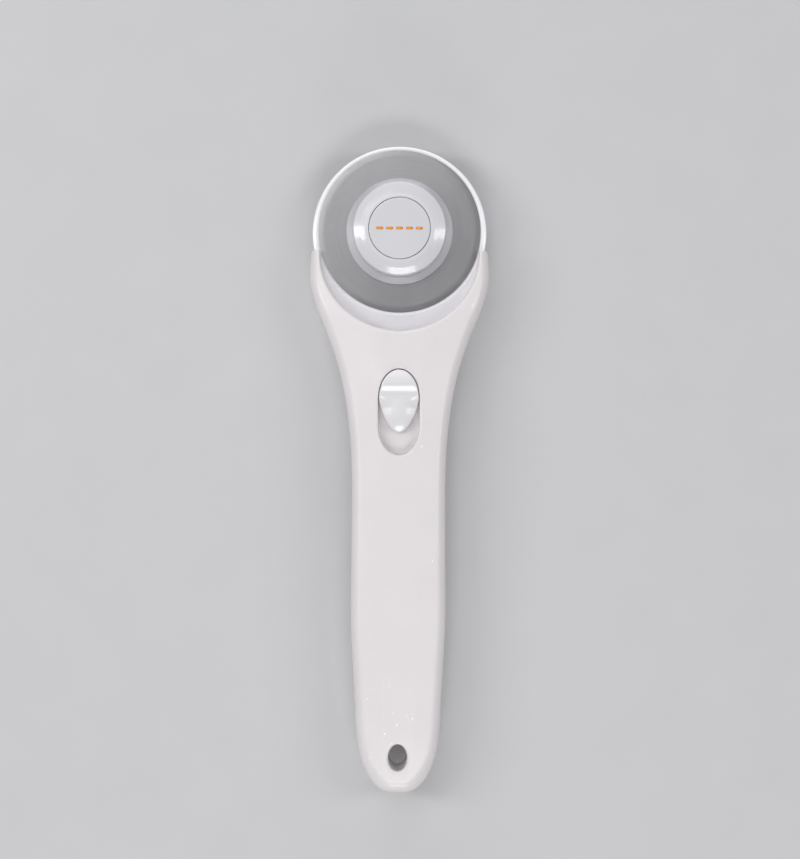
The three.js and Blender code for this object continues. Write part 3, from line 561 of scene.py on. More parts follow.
def skin(field, low, high, step):
    """The points and quads of a closed skin on the field's zero level, inside a box."""
    axes = [np.arange(a - 1.5 * step, b + 2.5 * step, step) for a, b in zip(low, high)]
    grid = field(*np.meshgrid(*axes, indexing="ij", sparse=True))
    inside = grid < 0
    cells = tuple(n - 1 for n in grid.shape)
    corners = [(i, j, k) for i in (0, 1) for j in (0, 1) for k in (0, 1)]
    total = np.zeros(cells, np.int8)
    for i, j, k in corners:
        total += inside[i:i + cells[0], j:j + cells[1], k:k + cells[2]]
    mixed = (total > 0) & (total < 8)
    numbers = np.full(cells, -1, np.int64)
    numbers[mixed] = np.arange(mixed.sum())
    places = np.argwhere(mixed)
    points = np.zeros((len(places), 3))
    hits = np.zeros(len(places))
    for axis in range(3):
        ahead = np.eye(3, dtype=int)[axis]
        for corner in (c for c in corners if c[axis] == 0):
            start = places + corner
            end = start + ahead
            a = grid[tuple(start.T)]
            b = grid[tuple(end.T)]
            crossed = (a < 0) != (b < 0)
            share = np.where(crossed, a / np.where(crossed, a - b, 1), 0)
            points += np.where(crossed[:, None], start + share[:, None] * ahead, 0)
            hits += crossed
    points = np.array([axis[0] for axis in axes]) + step * points / hits[:, None]
    quads = []
    for axis in range(3):
        b, c = (axis + 1) % 3, (axis + 2) % 3
        first = np.moveaxis(inside, axis, 0)[:-1]
        second = np.moveaxis(inside, axis, 0)[1:]
        crossing = np.argwhere(np.moveaxis(first != second, 0, axis))
        at_b, at_c = np.eye(3, dtype=int)[b], np.eye(3, dtype=int)[c]
        around = (-at_b - at_c, -at_c, 0 * at_b, -at_b)
        ring = [numbers[tuple((crossing + away).T)] for away in around]
        quad = np.column_stack(ring)
        leaves = inside[tuple(crossing.T)]
        quads.append(np.where(leaves[:, None], quad, quad[:, ::-1]))
    quads = np.concatenate(quads)
    for _ in range(2):
        points = settle(field, points, step)
    points = settle(field, relaxed(points, quads), step)
    return settle(field, relaxed(points, quads), step), quads


# ---- Meshes ---------------------------------------------------------------------------------

def add_piece(name, points, faces, body, slot, material, *nodes):
    """Adds a closed mesh, given in millimetres from the axle, as a piece that rides on a body."""
    mesh = bpy.data.meshes.new(name)
    mesh.from_pydata(((np.asarray(points) + AXLE) * MM).tolist(), [], [list(f) for f in faces])
    mesh.polygons.foreach_set("use_smooth", [True] * len(mesh.polygons))
    mesh.materials.append(material)
    mesh.update()
    piece = bpy.data.objects.new(name, mesh)
    bpy.context.scene.collection.objects.link(piece)
    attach(piece, body)
    if nodes:
        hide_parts(*nodes)
    return piece


def rounded(corners, steps=8):
    """A profile of [radius, z] points from corners of (radius, z, rounding)."""
    points = []
    for i, (r, z, rounding) in enumerate(corners):
        here = np.array((r, z), float)
        if not rounding:
            points.append(here)
            continue
        before = np.array(corners[i - 1][:2], float) - here
        after = np.array(corners[(i + 1) % len(corners)][:2], float) - here
        before /= np.linalg.norm(before)
        after /= np.linalg.norm(after)
        half = math.acos(np.clip(before @ after, -1, 1)) / 2
        reach = rounding / math.tan(half)
        start, end = here + before * reach, here + after * reach
        for t in np.linspace(0, 1, steps + 1):
            points.append((1 - t) ** 2 * start + 2 * t * (1 - t) * here + t * t * end)
    return points


def revolved(corners, sides):
    """Points and faces of a closed form turned about the axle.

    The corners run up the outside and down the inside. A form without a bore has its first and
    last corner on the axle.
    """
    profile = np.array(rounded(corners))
    solid = corners[0][0] == 0
    bottom, top = profile[0], profile[-1]
    if solid:
        profile = profile[1:-1]
    count = len(profile)
    angles = np.linspace(0, 2 * math.pi, sides, endpoint=False)
    radius, height = profile[:, 0], profile[:, 1]
    rings = [np.column_stack((radius * math.cos(a), radius * math.sin(a), height)) for a in angles]
    points = np.concatenate(rings)
    first = np.arange(count - 1 if solid else count)
    second = (first + 1) % count
    faces = []
    for i in range(sides):
        here, there = i * count, (i + 1) % sides * count
        faces += np.column_stack((here + first, there + first, there + second, here + second)).tolist()
        if solid:
            faces.append((sides * count, there, here))
            faces.append((sides * count + 1, here + count - 1, there + count - 1))
    if solid:
        points = np.concatenate((points, [(0, 0, bottom[1]), (0, 0, top[1])]))
    return points, faces


# ---- Shader kit -----------------------------------------------------------------------------

def add_node(tree, kind, inputs=(), **settings):
    """Adds a node. An input is a value for its socket, or another node's output to link to it."""
    node = tree.nodes.new(kind)
    for key, value in settings.items():
        setattr(node, key, value)
    for key, value in dict(inputs).items():
        if isinstance(value, bpy.types.NodeSocket):
            tree.links.new(value, node.inputs[key])
        else:
            node.inputs[key].default_value = value
    return node


def add_math(tree, operation, *values):
    return add_node(tree, "ShaderNodeMath", enumerate(values), operation=operation).outputs[0]


def add_vector_math(tree, operation, *values):
    return add_node(tree, "ShaderNodeVectorMath", enumerate(values), operation=operation).outputs[0]


def scaled(tree, vector, scale):
    """A colour or vector times a number."""
    inputs = {0: vector, "Scale": scale}
    return add_node(tree, "ShaderNodeVectorMath", inputs, operation="SCALE").outputs[0]


def new_group(name, inputs, outputs):
    """A shader node group with named sockets, and its input and output nodes."""
    group = bpy.data.node_groups.new(name, "ShaderNodeTree")
    for label, (kind, value) in inputs.items():
        socket = group.interface.new_socket(label, in_out="INPUT", socket_type=kind)
        socket.default_value = value
    for label, kind in outputs.items():
        group.interface.new_socket(label, in_out="OUTPUT", socket_type=kind)
    return group, add_node(group, "NodeGroupInput").outputs, add_node(group, "NodeGroupOutput").inputs


FLOAT = "NodeSocketFloat"
COLOUR = "NodeSocketColor"
VECTOR = "NodeSocketVector"


def moulded_group():
    """Slow colour drift and a faint orange-peel surface, as on a moulded plastic."""
    group, given, out = new_group(
        "Moulded surface",
        {"Colour": (COLOUR, (0.8, 0.8, 0.8, 1)), "Drift": (FLOAT, 0.05), "Roughness": (FLOAT, 0.35),
         "Spread": (FLOAT, 0.08), "Peel": (FLOAT, 0.02), "Drift scale": (FLOAT, 60.0),
         "Peel scale": (FLOAT, 2200.0)},
        {"Colour": COLOUR, "Roughness": FLOAT, "Normal": VECTOR},
    )
    place = add_node(group, "ShaderNodeTexCoord").outputs["Object"]
    slow = add_node(group, "ShaderNodeTexNoise",
                    {"Vector": place, "Scale": given["Drift scale"], "Detail": 3.0})
    low = add_math(group, "SUBTRACT", 1.0, given["Drift"])
    shade = add_node(group, "ShaderNodeMapRange",
                     {"Value": slow.outputs["Fac"], 1: 0.3, 2: 0.7, 3: low, 4: 1.0})
    group.links.new(scaled(group, given["Colour"], shade.outputs["Result"]), out["Colour"])
    fine = add_node(group, "ShaderNodeTexNoise", {"Vector": place, "Scale": 900.0, "Detail": 4.0})
    offset = add_math(group, "SUBTRACT", fine.outputs["Fac"], 0.5)
    rough = add_math(group, "MULTIPLY_ADD", offset, given["Spread"], given["Roughness"])
    group.links.new(rough, out["Roughness"])
    peel = add_node(group, "ShaderNodeTexNoise",
                    {"Vector": place, "Scale": given["Peel scale"], "Detail": 2.0})
    bump = add_node(group, "ShaderNodeBump",
                    {"Strength": given["Peel"], "Distance": 0.0002, "Height": peel.outputs["Fac"]})
    group.links.new(bump.outputs["Normal"], out["Normal"])
    return group


def sparkle_group():
    """Small flakes inside the plastic, some of which catch the light."""
    group, given, out = new_group(
        "Sparkle",
        {"Scale": (FLOAT, 3600.0), "Share": (FLOAT, 0.05), "Lean": (FLOAT, 0.25),
         "Normal": (VECTOR, (0, 0, 0))},
        {"Flake": FLOAT, "Normal": VECTOR},
    )
    place = add_node(group, "ShaderNodeTexCoord").outputs["Object"]
    cells = add_node(group, "ShaderNodeTexVoronoi", {"Vector": place, "Scale": given["Scale"]})
    parts = add_node(group, "ShaderNodeSeparateColor", {"Color": cells.outputs["Color"]})
    limit = add_math(group, "SUBTRACT", 1.0, given["Share"])
    chosen = add_math(group, "GREATER_THAN", parts.outputs[0], limit)
    disc = add_math(group, "LESS_THAN", cells.outputs["Distance"], 0.42)
    flake = add_math(group, "MULTIPLY", chosen, disc)
    group.links.new(flake, out["Flake"])
    centred = add_vector_math(group, "SUBTRACT", cells.outputs["Color"], (0.5, 0.5, 0.5))
    reach = add_math(group, "MULTIPLY", flake, given["Lean"])
    tilted = add_vector_math(group, "ADD", given["Normal"], scaled(group, centred, reach))
    group.links.new(add_vector_math(group, "NORMALIZE", tilted), out["Normal"])
    return group


def turned_group():
    """Fine rings round a centre line along z, as a grinding wheel or a lathe leaves them."""
    group, given, out = new_group(
        "Turned rings",
        {"Centre": (VECTOR, (0, 0, 0)), "Pitch": (FLOAT, 3000.0), "Strength": (FLOAT, 0.1)},
        {"Ring": FLOAT, "Normal": VECTOR},
    )
    place = add_node(group, "ShaderNodeTexCoord").outputs["Object"]
    away = add_vector_math(group, "SUBTRACT", place, given["Centre"])
    flat = add_vector_math(group, "MULTIPLY", away, (1, 1, 0))
    reach = add_node(group, "ShaderNodeVectorMath", {0: flat}, operation="LENGTH").outputs["Value"]
    wound = add_math(group, "MULTIPLY", reach, given["Pitch"])
    swirl = add_node(group, "ShaderNodeSeparateXYZ", {0: scaled(group, flat, 90.0)}).outputs
    where = add_node(group, "ShaderNodeCombineXYZ", {0: wound, 1: swirl[0], 2: swirl[1]}).outputs[0]
    rings = add_node(group, "ShaderNodeTexNoise", {"Vector": where, "Scale": 1.0, "Detail": 3.0})
    group.links.new(rings.outputs["Fac"], out["Ring"])
    bump = add_node(group, "ShaderNodeBump",
                    {"Strength": given["Strength"], "Distance": 0.0001, "Height": rings.outputs["Fac"]})
    group.links.new(bump.outputs["Normal"], out["Normal"])
    return group


def build_groups():
    moulded_group()
    sparkle_group()
    turned_group()


def new_material(name, **constants):
    """A material with its Principled shader, whose constant sockets are set directly."""
    material = bpy.data.materials.new(name)
    material.use_nodes = True
    tree = material.node_tree
    tree.nodes.clear()
    shader = add_node(tree, "ShaderNodeBsdfPrincipled")
    output = add_node(tree, "ShaderNodeOutputMaterial")
    tree.links.new(shader.outputs[0], output.inputs["Surface"])
    for label, value in constants.items():
        shader.inputs[label.replace("_", " ")].default_value = value
    return material, tree, shader.inputs


def place_group(tree, name, **inputs):
    """Adds a group by its name and gives its outputs."""
    return add_node(tree, "ShaderNodeGroup", inputs, node_tree=bpy.data.node_groups[name]).outputs


def plastic(name, colour, roughness, drift=0.05, peel=0.15, **constants):
    material, tree, shader = new_material(name, **constants)
    surface = place_group(tree, "Moulded surface", Colour=(*colour, 1), Roughness=roughness,
                          Drift=drift, Peel=peel)
    tree.links.new(surface["Colour"], shader["Base Color"])
    tree.links.new(surface["Roughness"], shader["Roughness"])
    tree.links.new(surface["Normal"], shader["Normal"])
    return material


def sparkle_plastic(name, colour, roughness, share):
    """Moulded plastic with flakes in it."""
    material, tree, shader = new_material(name, IOR=1.5)
    surface = place_group(tree, "Moulded surface", Colour=(*colour, 1), Roughness=roughness,
                          Drift=0.035, Peel=0.12)
    flakes = place_group(tree, "Sparkle", Share=share, Normal=surface["Normal"])
    bright = add_node(tree, "ShaderNodeMix",
                      {0: flakes["Flake"], 6: surface["Colour"], 7: (1, 1, 1, 1)}, data_type="RGBA")
    dull = add_math(tree, "MULTIPLY_ADD", flakes["Flake"], -0.3, 1.0)
    tree.links.new(bright.outputs[2], shader["Base Color"])
    tree.links.new(add_math(tree, "MULTIPLY", surface["Roughness"], dull), shader["Roughness"])
    tree.links.new(add_math(tree, "MULTIPLY", flakes["Flake"], 0.25), shader["Metallic"])
    tree.links.new(flakes["Normal"], shader["Normal"])
    return material


def turned_metal(name, colour, roughness, centre, pitch=3000.0, strength=0.1, streak=0.1, **constants):
    """Metal ground or turned in rings round a centre line."""
    material, tree, shader = new_material(name, Metallic=1.0, **constants)
    rings = place_group(tree, "Turned rings", Centre=centre, Pitch=pitch, Strength=strength)
    surface = place_group(tree, "Moulded surface", Colour=(*colour, 1), Roughness=roughness,
                          Drift=0.1, Spread=0.12, Peel=0.0)
    shade = add_node(tree, "ShaderNodeMapRange",
                     {"Value": rings["Ring"], 1: 0.3, 2: 0.7, 3: 1 - streak, 4: 1.0})
    tint = scaled(tree, surface["Colour"], shade.outputs["Result"])
    rough = add_math(tree, "MULTIPLY_ADD", rings["Ring"], 0.12, surface["Roughness"])
    tree.links.new(tint, shader["Base Color"])
    tree.links.new(rough, shader["Roughness"])
    tree.links.new(rings["Normal"], shader["Normal"])
    return material


def axle_line():
    return Vector((AXLE[0] * MM, AXLE[1] * MM, 0))


# ---- Settings -------------------------------------------------------------------------------

def record_colour(slot):
    """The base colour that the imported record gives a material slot."""
    for entry in frame["record"]["materials"]:
        if entry["slot"] == slot:
            return tuple(entry["base_color"])
    raise KeyError(slot)


def length_setting(name, description, millimetres):
    return bpy.props.FloatProperty(name=name, description=description, default=millimetres * MM,
                                   min=0.0, precision=5, unit="LENGTH")


def colour_setting(name, description, colour):
    return bpy.props.FloatVectorProperty(name=name, description=description, default=colour, size=3,
                                         min=0.0, max=1.0, subtype="COLOR")


class CutterSizes(bpy.types.PropertyGroup):
    """Sizes of the visible forms that the frame leaves open."""

    shell_edge: length_setting("Front edge", "Rounding of the front shell's long edges", 2.8)
    back_edge: length_setting("Back edge", "Rounding of the rear shell's long edges", 5.0)
    crescent_edge: length_setting("Crescent edge", "Rounding of the edge round the blade", 0.8)
    crescent_lean: length_setting("Crescent lean", "How far that edge leans in over the blade", 0.4)
    facet_tilt: bpy.props.FloatProperty(name="Facet tilt", default=0.11, min=0.0, subtype="ANGLE",
                                        description="How much the front's side facets lean outwards")
    nest_gap: length_setting("Ridge gap", "From the blade's edge to the ridge round it", 0.7)
    crest_back: length_setting("Crest setback", "From the button's head to the crest of its top", 3.3)
    step_depth: length_setting("Step depth", "How far the top steps down behind the crest", 0.82)
    crown_slope: bpy.props.FloatProperty(name="Crown slope", default=0.38, min=0.0, subtype="ANGLE",
                                         description="How much the band round the cap's edge leans")
    nut_lobes: bpy.props.IntProperty(name="Nut dips", description="Finger dips round the nut",
                                     default=8, min=3, max=16)
    stitch_count: bpy.props.IntProperty(name="Stitches", description="Dashes in the badge's mark",
                                        default=5, min=1, max=9)
    stitch_length: length_setting("Stitch length", "Length of one dash of the badge's mark", 2.0)
    stitch_width: length_setting("Stitch width", "Width of one dash of the badge's mark", 0.8)
    stitch_pitch: length_setting("Stitch pitch", "From one dash to the next", 2.7)


class CutterColours(bpy.types.PropertyGroup):
    """Base colours of the finishes."""

    handle: colour_setting("Handle", "Moulded handle", (0.80, 0.768, 0.775))
    guard: colour_setting("Guard", "Blade guard", (0.98, 0.965, 1.0))
    pearl: colour_setting("Pearl", "Hub cap and badge", (0.70, 0.70, 0.735))
    button: colour_setting("Button", "Pearl of the thumb button", (0.80, 0.795, 0.82))
    clamp: colour_setting("Clamp ring", "Ring at the foot of the hub", (0.55, 0.55, 0.58))
    blade: colour_setting("Blade", "Ground steel", (0.42, 0.415, 0.43))
    plated: colour_setting("Plating", "Plated steel", record_colour("plated_steel"))
    spring: colour_setting("Spring steel", "Springs and washers", record_colour("spring_steel"))
    slider: colour_setting("Slider", "Carriage inside the handle", record_colour("slider_plastic"))
    nut: colour_setting("Nut", "Finger nut", record_colour("nut_plastic"))
    brass: colour_setting("Brass", "Threaded insert", record_colour("brass"))
    stitch: colour_setting("Mark", "Stitches printed on the badge", (0.84, 0.34, 0.045))
    floor: colour_setting("Floor", "Studio floor", (0.60, 0.60, 0.61))


def sizes():
    return bpy.context.scene.cutter_sizes


def colours():
    return bpy.context.scene.cutter_colours


# ---- Operators ------------------------------------------------------------------------------

class CUTTER_OT_front_shell(bpy.types.Operator):
    """Add the handle's front shell with its crescent, thumb slot and hanging hole"""

    bl_idname = "cutter.front_shell"
    bl_label = "Front shell"
    bl_options = {"REGISTER", "UNDO"}

    def execute(self, context):
        settings = sizes()
        low = (-HEAD_HALF, TAIL_Y, FRONT.z0)
        high = (HEAD_HALF, HORN_TIP_Y, FRONT.z1)
        points, quads = skin(lambda x, y, z: front_shell_field(x, y, z, settings), low, high, 0.42)
        finish = sparkle_plastic("Sparkle plastic", colours().handle, 0.3, 0.025)
        add_piece("front_cover", points, quads, "handle", "handle_plastic", finish, "front_shell")
        return {"FINISHED"}


class CUTTER_OT_rear_shell(bpy.types.Operator):
    """Add the handle's rear shell with the arm that carries the axle"""

    bl_idname = "cutter.rear_shell"
    bl_label = "Rear shell"
    bl_options = {"REGISTER", "UNDO"}

    def execute(self, context):
        settings = sizes()
        low = (-HEAD_HALF, TAIL_Y, 0)
        high = (HEAD_HALF, ARM_R, REAR.z1)
        points, quads = skin(lambda x, y, z: rear_shell_field(x, y, z, settings), low, high, 0.45)
        finish = sparkle_plastic("Sparkle plastic, back", colours().handle, 0.36, 0.025)
        add_piece("rear_cover", points, quads, "handle", "handle_plastic", finish, "rear_shell")
        return {"FINISHED"}


class CUTTER_OT_guard(bpy.types.Operator):
    """Add the blade guard with the nest that the blade lies in"""

    bl_idname = "cutter.guard"
    bl_label = "Blade guard"
    bl_options = {"REGISTER", "UNDO"}

    def execute(self, context):
        settings = sizes()
        low = (-GUARD_R, GUARD.y0, GUARD.z0)
        high = (GUARD_R, GUARD.y1, GUARD.z1)
        points, quads = skin(lambda x, y, z: guard_field(x, y, z, settings), low, high, 0.3)
        finish = plastic("Polished guard plastic", colours().guard, 0.2, 0.04, 0.06, IOR=1.5,
                         Coat_Weight=0.5, Coat_Roughness=0.2)
        add_piece("guard_plate", points, quads, "guard", "guard_plastic", finish, "blade_guard")
        return {"FINISHED"}


class CUTTER_OT_blade(bpy.types.Operator):
    """Add the round blade with its ground edge"""

    bl_idname = "cutter.blade"
    bl_label = "Blade"
    bl_options = {"REGISTER", "UNDO"}

    def execute(self, context):
        bore = JOURNAL_R + SEAT / 2
        grind = 1.0
        edge_half = 0.05
        middle_z = (BLADE.z0 + BLADE.z1) / 2
        top = [(r, BLADE.z1, 0) for r in np.linspace(BLADE.radius - grind, bore, 24)]
        bottom = [(r, BLADE.z0, 0) for r in np.linspace(bore, BLADE.radius - grind, 8)]
        edge = [(BLADE.radius, middle_z - edge_half, 0), (BLADE.radius, middle_z + edge_half, 0)]
        points, quads = revolved(bottom + edge + top, 240)
        finish = turned_metal("Ground blade steel", colours().blade, 0.27,
                              axle_line(), 5200.0, 0.1, 0.08)
        piece = add_piece("blade_disc", points, quads, "blade", "blade_steel", finish, "blade")
        piece.data.set_sharp_from_angle(angle=math.radians(6))
        return {"FINISHED"}


class CUTTER_OT_clamp_ring(bpy.types.Operator):
    """Add the ring that presses on the blade at the foot of the hub"""

    bl_idname = "cutter.clamp_ring"
    bl_label = "Clamp ring"
    bl_options = {"REGISTER", "UNDO"}

    def execute(self, context):
        bore = JOURNAL_R + SEAT
        outer = CLAMP.radius - 0.25
        corners = [
            (bore, CLAMP.z0, 0.05), (outer, CLAMP.z0, 0.05), (outer, CLAMP.z0 + 0.14, 0.08),
            (outer - 0.65, CLAMP.z0 + 0.16, 0.3), (CAP.radius + 0.3, CLAMP.z1, 0.25),
            (bore, CLAMP.z1, 0.05),
        ]
        points, quads = revolved(corners, 160)
        finish = plastic("Satin clamp plastic", colours().clamp, 0.3, 0.08, 0.08, IOR=1.5)
        add_piece("clamp_ring", points, quads, "handle", "clamp_plastic", finish, "clamp_washer")
        return {"FINISHED"}


class CUTTER_OT_hub_cap(bpy.types.Operator):
    """Add the round pearl cap over the axle"""

    bl_idname = "cutter.hub_cap"
    bl_label = "Hub cap"
    bl_options = {"REGISTER", "UNDO"}

    def execute(self, context):
        seat = BADGE.radius + SEAT
        floor = BADGE.z0 - SEAT
        outer = CAP.radius
        band = 1.9
        brow = CAP.z1 - 1.2
        room = CAP.z0 + BOLT_HEAD_H + 3 * SEAT
        corners = [
            (0, room, 0), (BOLT_HEAD_R + SEAT, room, 0.1), (BOLT_HEAD_R + SEAT, CAP.z0, 0.1),
            (outer - 0.15, CAP.z0, 0.1), (outer, CAP.z0 + 0.3, 0.2), (outer, brow, 0.4),
            (outer - band, brow + band * math.tan(sizes().crown_slope), 1.6),
            (seat + 0.9, CAP.z1 - 0.04, 1.6), (seat, CAP.z1 - 0.02, 0.06), (seat, floor, 0.05),
            (0, floor, 0),
        ]
        points, quads = revolved(corners, 200)
        finish = pearl_plastic("Pearl plastic", colours().pearl)
        add_piece("pearl_cap", points, quads, "handle", "pearl_plastic", finish, "hub_cap")
        return {"FINISHED"}


def pearl_plastic(name, colour):
    """Pearl plastic under a clear gloss."""
    return plastic(name, colour, 0.24, 0.05, 0.05, IOR=1.5, Coat_Weight=0.6, Coat_Roughness=0.06,
                   Sheen_Weight=0.05)


class CUTTER_OT_badge(bpy.types.Operator):
    """Add the badge in the cap, with its row of printed stitches"""

    bl_idname = "cutter.badge"
    bl_label = "Badge"
    bl_options = {"REGISTER", "UNDO"}

    def execute(self, context):
        rim = BADGE.radius - 0.06
        corners = [(0, BADGE.z0, 0), (rim, BADGE.z0, 0.05), (rim, BADGE.z1, 0.12),
                   (rim - 0.4, BADGE.z1, 0), (rim / 2, BADGE.z1, 0), (0, BADGE.z1, 0)]
        points, quads = revolved(corners, 160)
        finish = pearl_plastic("Pearl plastic, badge", tuple(c * 0.97 for c in colours().pearl))
        add_piece("badge_disc", points, quads, "handle", "pearl_plastic", finish, "hub_badge")
        ink = plastic("Orange print", colours().stitch, 0.4, 0.1, 0.1, IOR=1.5)
        settings = sizes()
        for i in range(settings.stitch_count):
            x = (i - (settings.stitch_count - 1) / 2) * settings.stitch_pitch / MM
            points, faces = dash(x, settings.stitch_length / MM, settings.stitch_width / MM)
            add_piece(f"stitch_{i + 1}", points, faces, "handle", "pearl_plastic", ink)
        return {"FINISHED"}


def dash(x, length, width):
    """A thin printed dash with round ends, centred at x on the badge."""
    reach = (length - width) / 2
    turn = np.linspace(-math.pi / 2, math.pi / 2, 9)
    right = np.column_stack((reach + width / 2 * np.cos(turn), width / 2 * np.sin(turn)))
    ring = np.concatenate((right, -right)) + (x, 0)
    low = np.column_stack((ring, np.full(len(ring), BADGE.z1 - 0.02)))
    high = np.column_stack((ring, np.full(len(ring), BADGE.z1 + 0.025)))
    count = len(ring)
    sides = [(i, (i + 1) % count, (i + 1) % count + count, i + count) for i in range(count)]
    caps = [tuple(range(count))[::-1], tuple(range(count, 2 * count))]
    return np.concatenate((low, high)), sides + caps


class CUTTER_OT_button(bpy.types.Operator):
    """Add the thumb button with its crest and step"""

    bl_idname = "cutter.button"
    bl_label = "Thumb button"
    bl_options = {"REGISTER", "UNDO"}

    def execute(self, context):
        settings = sizes()
        outline = button_outline()
        low = (-BUTTON.radius - 0.2, BUTTON.y0, BUTTON.z0)
        high = (BUTTON.radius + 0.2, BUTTON.y1 + 0.2, BUTTON.z1)
        points, quads = skin(lambda x, y, z: button_field(x, y, z, settings, outline), low, high, 0.14)
        finish = pearl_plastic("Pearl plastic, button", colours().button)
        add_piece("thumb_button", points, quads, "guard", "pearl_plastic", finish, "slide_button")
        return {"FINISHED"}


class CUTTER_OT_nut(bpy.types.Operator):
    """Add the finger nut at the back"""

    bl_idname = "cutter.nut"
    bl_label = "Finger nut"
    bl_options = {"REGISTER", "UNDO"}

    def execute(self, context):
        lobes = sizes().nut_lobes
        low = (-NUT.radius, -NUT.radius, NUT.z0)
        high = (NUT.radius, NUT.radius, NUT.z1)
        points, quads = skin(lambda x, y, z: nut_field(x, y, z, lobes), low, high, 0.24)
        finish = sparkle_plastic("Sparkle plastic, nut", colours().nut, 0.42, 0.02)
        add_piece("finger_nut", points, quads, "nut", "nut_plastic", finish, "retaining_nut")
        return {"FINISHED"}


class CUTTER_OT_insert(bpy.types.Operator):
    """Finish the brass insert of the nut"""

    bl_idname = "cutter.insert"
    bl_label = "Brass insert"
    bl_options = {"REGISTER", "UNDO"}

    def execute(self, context):
        finish = turned_metal("Turned brass", colours().brass, 0.3, axle_line(), 6000.0, 0.15, 0.12)
        coat_node("nut_insert", finish)
        return {"FINISHED"}


def coat_node(node, material):
    """Gives a node of the frame a finish."""
    mesh = frame["nodes"][node].data
    mesh.materials.clear()
    mesh.materials.append(material)


class CUTTER_OT_bolt(bpy.types.Operator):
    """Add the axle bolt with its rolled thread"""

    bl_idname = "cutter.bolt"
    bl_label = "Axle bolt"
    bl_options = {"REGISTER", "UNDO"}

    def execute(self, context):
        low = (-BOLT_HEAD_R, -BOLT_HEAD_R, BOLT.z0)
        high = (BOLT_HEAD_R, BOLT_HEAD_R, BOLT.z1)
        points, quads = skin(bolt_field, low, high, 0.18)
        finish = turned_metal("Plated steel, bolt", colours().plated, 0.28,
                              axle_line(), 7000.0, 0.2, 0.15)
        add_piece("threaded_bolt", points, quads, "handle", "plated_steel", finish, "axle_bolt")
        return {"FINISHED"}


class CUTTER_OT_screws(bpy.types.Operator):
    """Add the four cross-headed screws that join the shells"""

    bl_idname = "cutter.screws"
    bl_label = "Shell screws"
    bl_options = {"REGISTER", "UNDO"}

    def execute(self, context):
        any_span = SHELL_SCREWS["shell_screw_1"]
        low = (-SCREW_HEAD_R, -SCREW_HEAD_R, any_span.z0)
        high = (SCREW_HEAD_R, SCREW_HEAD_R, any_span.z1)
        points, quads = skin(shell_screw_field, low, high, 0.15)
        for name, span in SHELL_SCREWS.items():
            centre = np.array((*span.centre, 0))
            line = Vector((centre + AXLE) * MM)
            finish = turned_metal(f"Plated steel, {name}", colours().plated, 0.3,
                                  line, 7000.0, 0.2, 0.15)
            add_piece(f"crossed_{name}", points + centre, quads, "handle", "plated_steel", finish, name)
        return {"FINISHED"}


class CUTTER_OT_washer(bpy.types.Operator):
    """Finish the wave washer under the nut"""

    bl_idname = "cutter.washer"
    bl_label = "Wave washer"
    bl_options = {"REGISTER", "UNDO"}

    def execute(self, context):
        finish = turned_metal("Spring steel, washer", colours().spring, 0.32,
                              axle_line(), 4000.0, 0.1, 0.1)
        coat_node("wave_washer", finish)
        return {"FINISHED"}


class CUTTER_OT_inner_parts(bpy.types.Operator):
    """Finish the parts that work inside the handle"""

    bl_idname = "cutter.inner_parts"
    bl_label = "Inner parts"
    bl_options = {"REGISTER", "UNDO"}

    def execute(self, context):
        tint = colours()
        plate = turned_metal("Plated steel, plate", tint.plated, 0.34, axle_line(), 1500.0, 0.1, 0.12)
        coat_node("carrier_plate", plate)
        leaf = turned_metal("Spring steel, leaf", tint.spring, 0.3, axle_line(), 900.0, 0.1, 0.12)
        coat_node("detent_spring", leaf)
        coat_node("slide_carriage", plastic("Acetal", tint.slider, 0.5, 0.06, 0.2, IOR=1.48))
        for name in ("plate_screw_1", "plate_screw_2", "carriage_screw_1", "carriage_screw_2"):
            line = middle(name)
            finish = turned_metal(f"Plated steel, {name}", tint.plated, 0.3, line, 7000.0, 0.2, 0.15)
            coat_node(name, finish)
        return {"FINISHED"}


class CUTTER_OT_studio(bpy.types.Operator):
    """Add the floor, the soft lights and the camera"""

    bl_idname = "cutter.studio"
    bl_label = "Studio"
    bl_options = {"REGISTER", "UNDO"}

    def execute(self, context):
        add_floor()
        add_world()
        axle = axle_line()
        for name, reach, size, brightness in SOFTBOXES:
            add_softbox(name, axle, reach, size, brightness)
        add_camera(axle)
        return {"FINISHED"}


def add_floor():
    corners = [(-1, -1), (1, -1), (1, 1), (-1, 1)]
    mesh = bpy.data.meshes.new("floor")
    points = [(x * FLOOR_HALF, y * FLOOR_HALF, FLOOR_Z) for x, y in corners]
    mesh.from_pydata(points, [], [(0, 1, 2, 3)])
    mesh.materials.append(plastic("Studio floor paint", colours().floor, 0.75, 0.02, 0.02))
    floor = bpy.data.objects.new("floor", mesh)
    bpy.context.scene.collection.objects.link(floor)


def add_world():
    world = bpy.data.worlds.new("Studio")
    world.use_nodes = True
    background = world.node_tree.nodes["Background"]
    background.inputs["Color"].default_value = (0.98, 0.98, 1.0, 1)
    background.inputs["Strength"].default_value = WORLD_LIGHT
    bpy.context.scene.world = world


def add_softbox(name, target, reach, size, brightness):
    """A soft rectangular light, reach away from its target. Brightness is its radiance."""
    light = bpy.data.lights.new(name, "AREA")
    light.shape = "RECTANGLE"
    light.size, light.size_y = size
    light.energy = brightness * math.pi * size[0] * size[1]
    lamp = bpy.data.objects.new(name, light)
    lamp.location = target + Vector(reach)
    lamp.rotation_euler = Vector(reach).to_track_quat("Z", "Y").to_euler()
    bpy.context.scene.collection.objects.link(lamp)


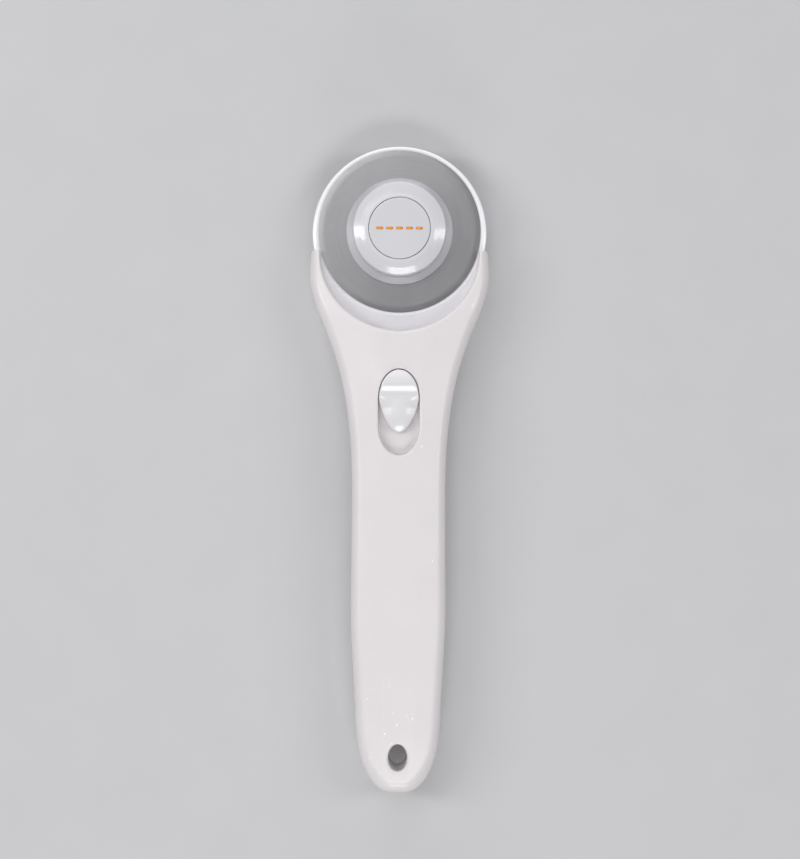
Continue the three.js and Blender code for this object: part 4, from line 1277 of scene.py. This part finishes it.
def add_camera(axle):
    data = bpy.data.cameras.new("Camera")
    data.lens = CAMERA_LENS
    data.sensor_width = 36
    camera = bpy.data.objects.new("Camera", data)
    blade_plane = (BLADE.z0 + BLADE.z1) / 2 * MM
    camera.location = axle + Vector((CAMERA_SIDE, -CAMERA_BACK, blade_plane + CAMERA_HEIGHT))
    camera.rotation_euler = (0, 0, CAMERA_ROLL)
    bpy.context.scene.collection.objects.link(camera)
    bpy.context.scene.camera = camera
    bpy.context.scene.view_settings.view_transform = "Standard"


PIECES = (
    CUTTER_OT_front_shell, CUTTER_OT_rear_shell, CUTTER_OT_guard, CUTTER_OT_blade,
    CUTTER_OT_clamp_ring, CUTTER_OT_hub_cap, CUTTER_OT_badge, CUTTER_OT_button, CUTTER_OT_nut,
    CUTTER_OT_insert, CUTTER_OT_bolt, CUTTER_OT_screws, CUTTER_OT_washer, CUTTER_OT_inner_parts,
    CUTTER_OT_studio,
)


class CUTTER_PT_panel(bpy.types.Panel):
    """The cutter's pieces, sizes and colours"""

    bl_idname = "CUTTER_PT_panel"
    bl_label = "Rotary cutter"
    bl_space_type = "VIEW_3D"
    bl_region_type = "UI"
    bl_category = "Cutter"

    def draw(self, context):
        layout = self.layout
        for settings in (sizes(), colours()):
            box = layout.box()
            for name in settings.__annotations__:
                box.prop(settings, name)
        column = layout.column(align=True)
        for piece in PIECES:
            column.operator(piece.bl_idname)


CLASSES = (CutterSizes, CutterColours, *PIECES, CUTTER_PT_panel)


def register():
    for cls in CLASSES:
        bpy.utils.register_class(cls)
    bpy.types.Scene.cutter_sizes = bpy.props.PointerProperty(type=CutterSizes)
    bpy.types.Scene.cutter_colours = bpy.props.PointerProperty(type=CutterColours)


def unregister():
    del bpy.types.Scene.cutter_colours
    del bpy.types.Scene.cutter_sizes
    for cls in reversed(CLASSES):
        bpy.utils.unregister_class(cls)


def main():
    register()
    build_groups()
    for piece in PIECES:
        family, name = piece.bl_idname.split(".")
        getattr(getattr(bpy.ops, family), name)()


if __name__ == "__main__":
    main()
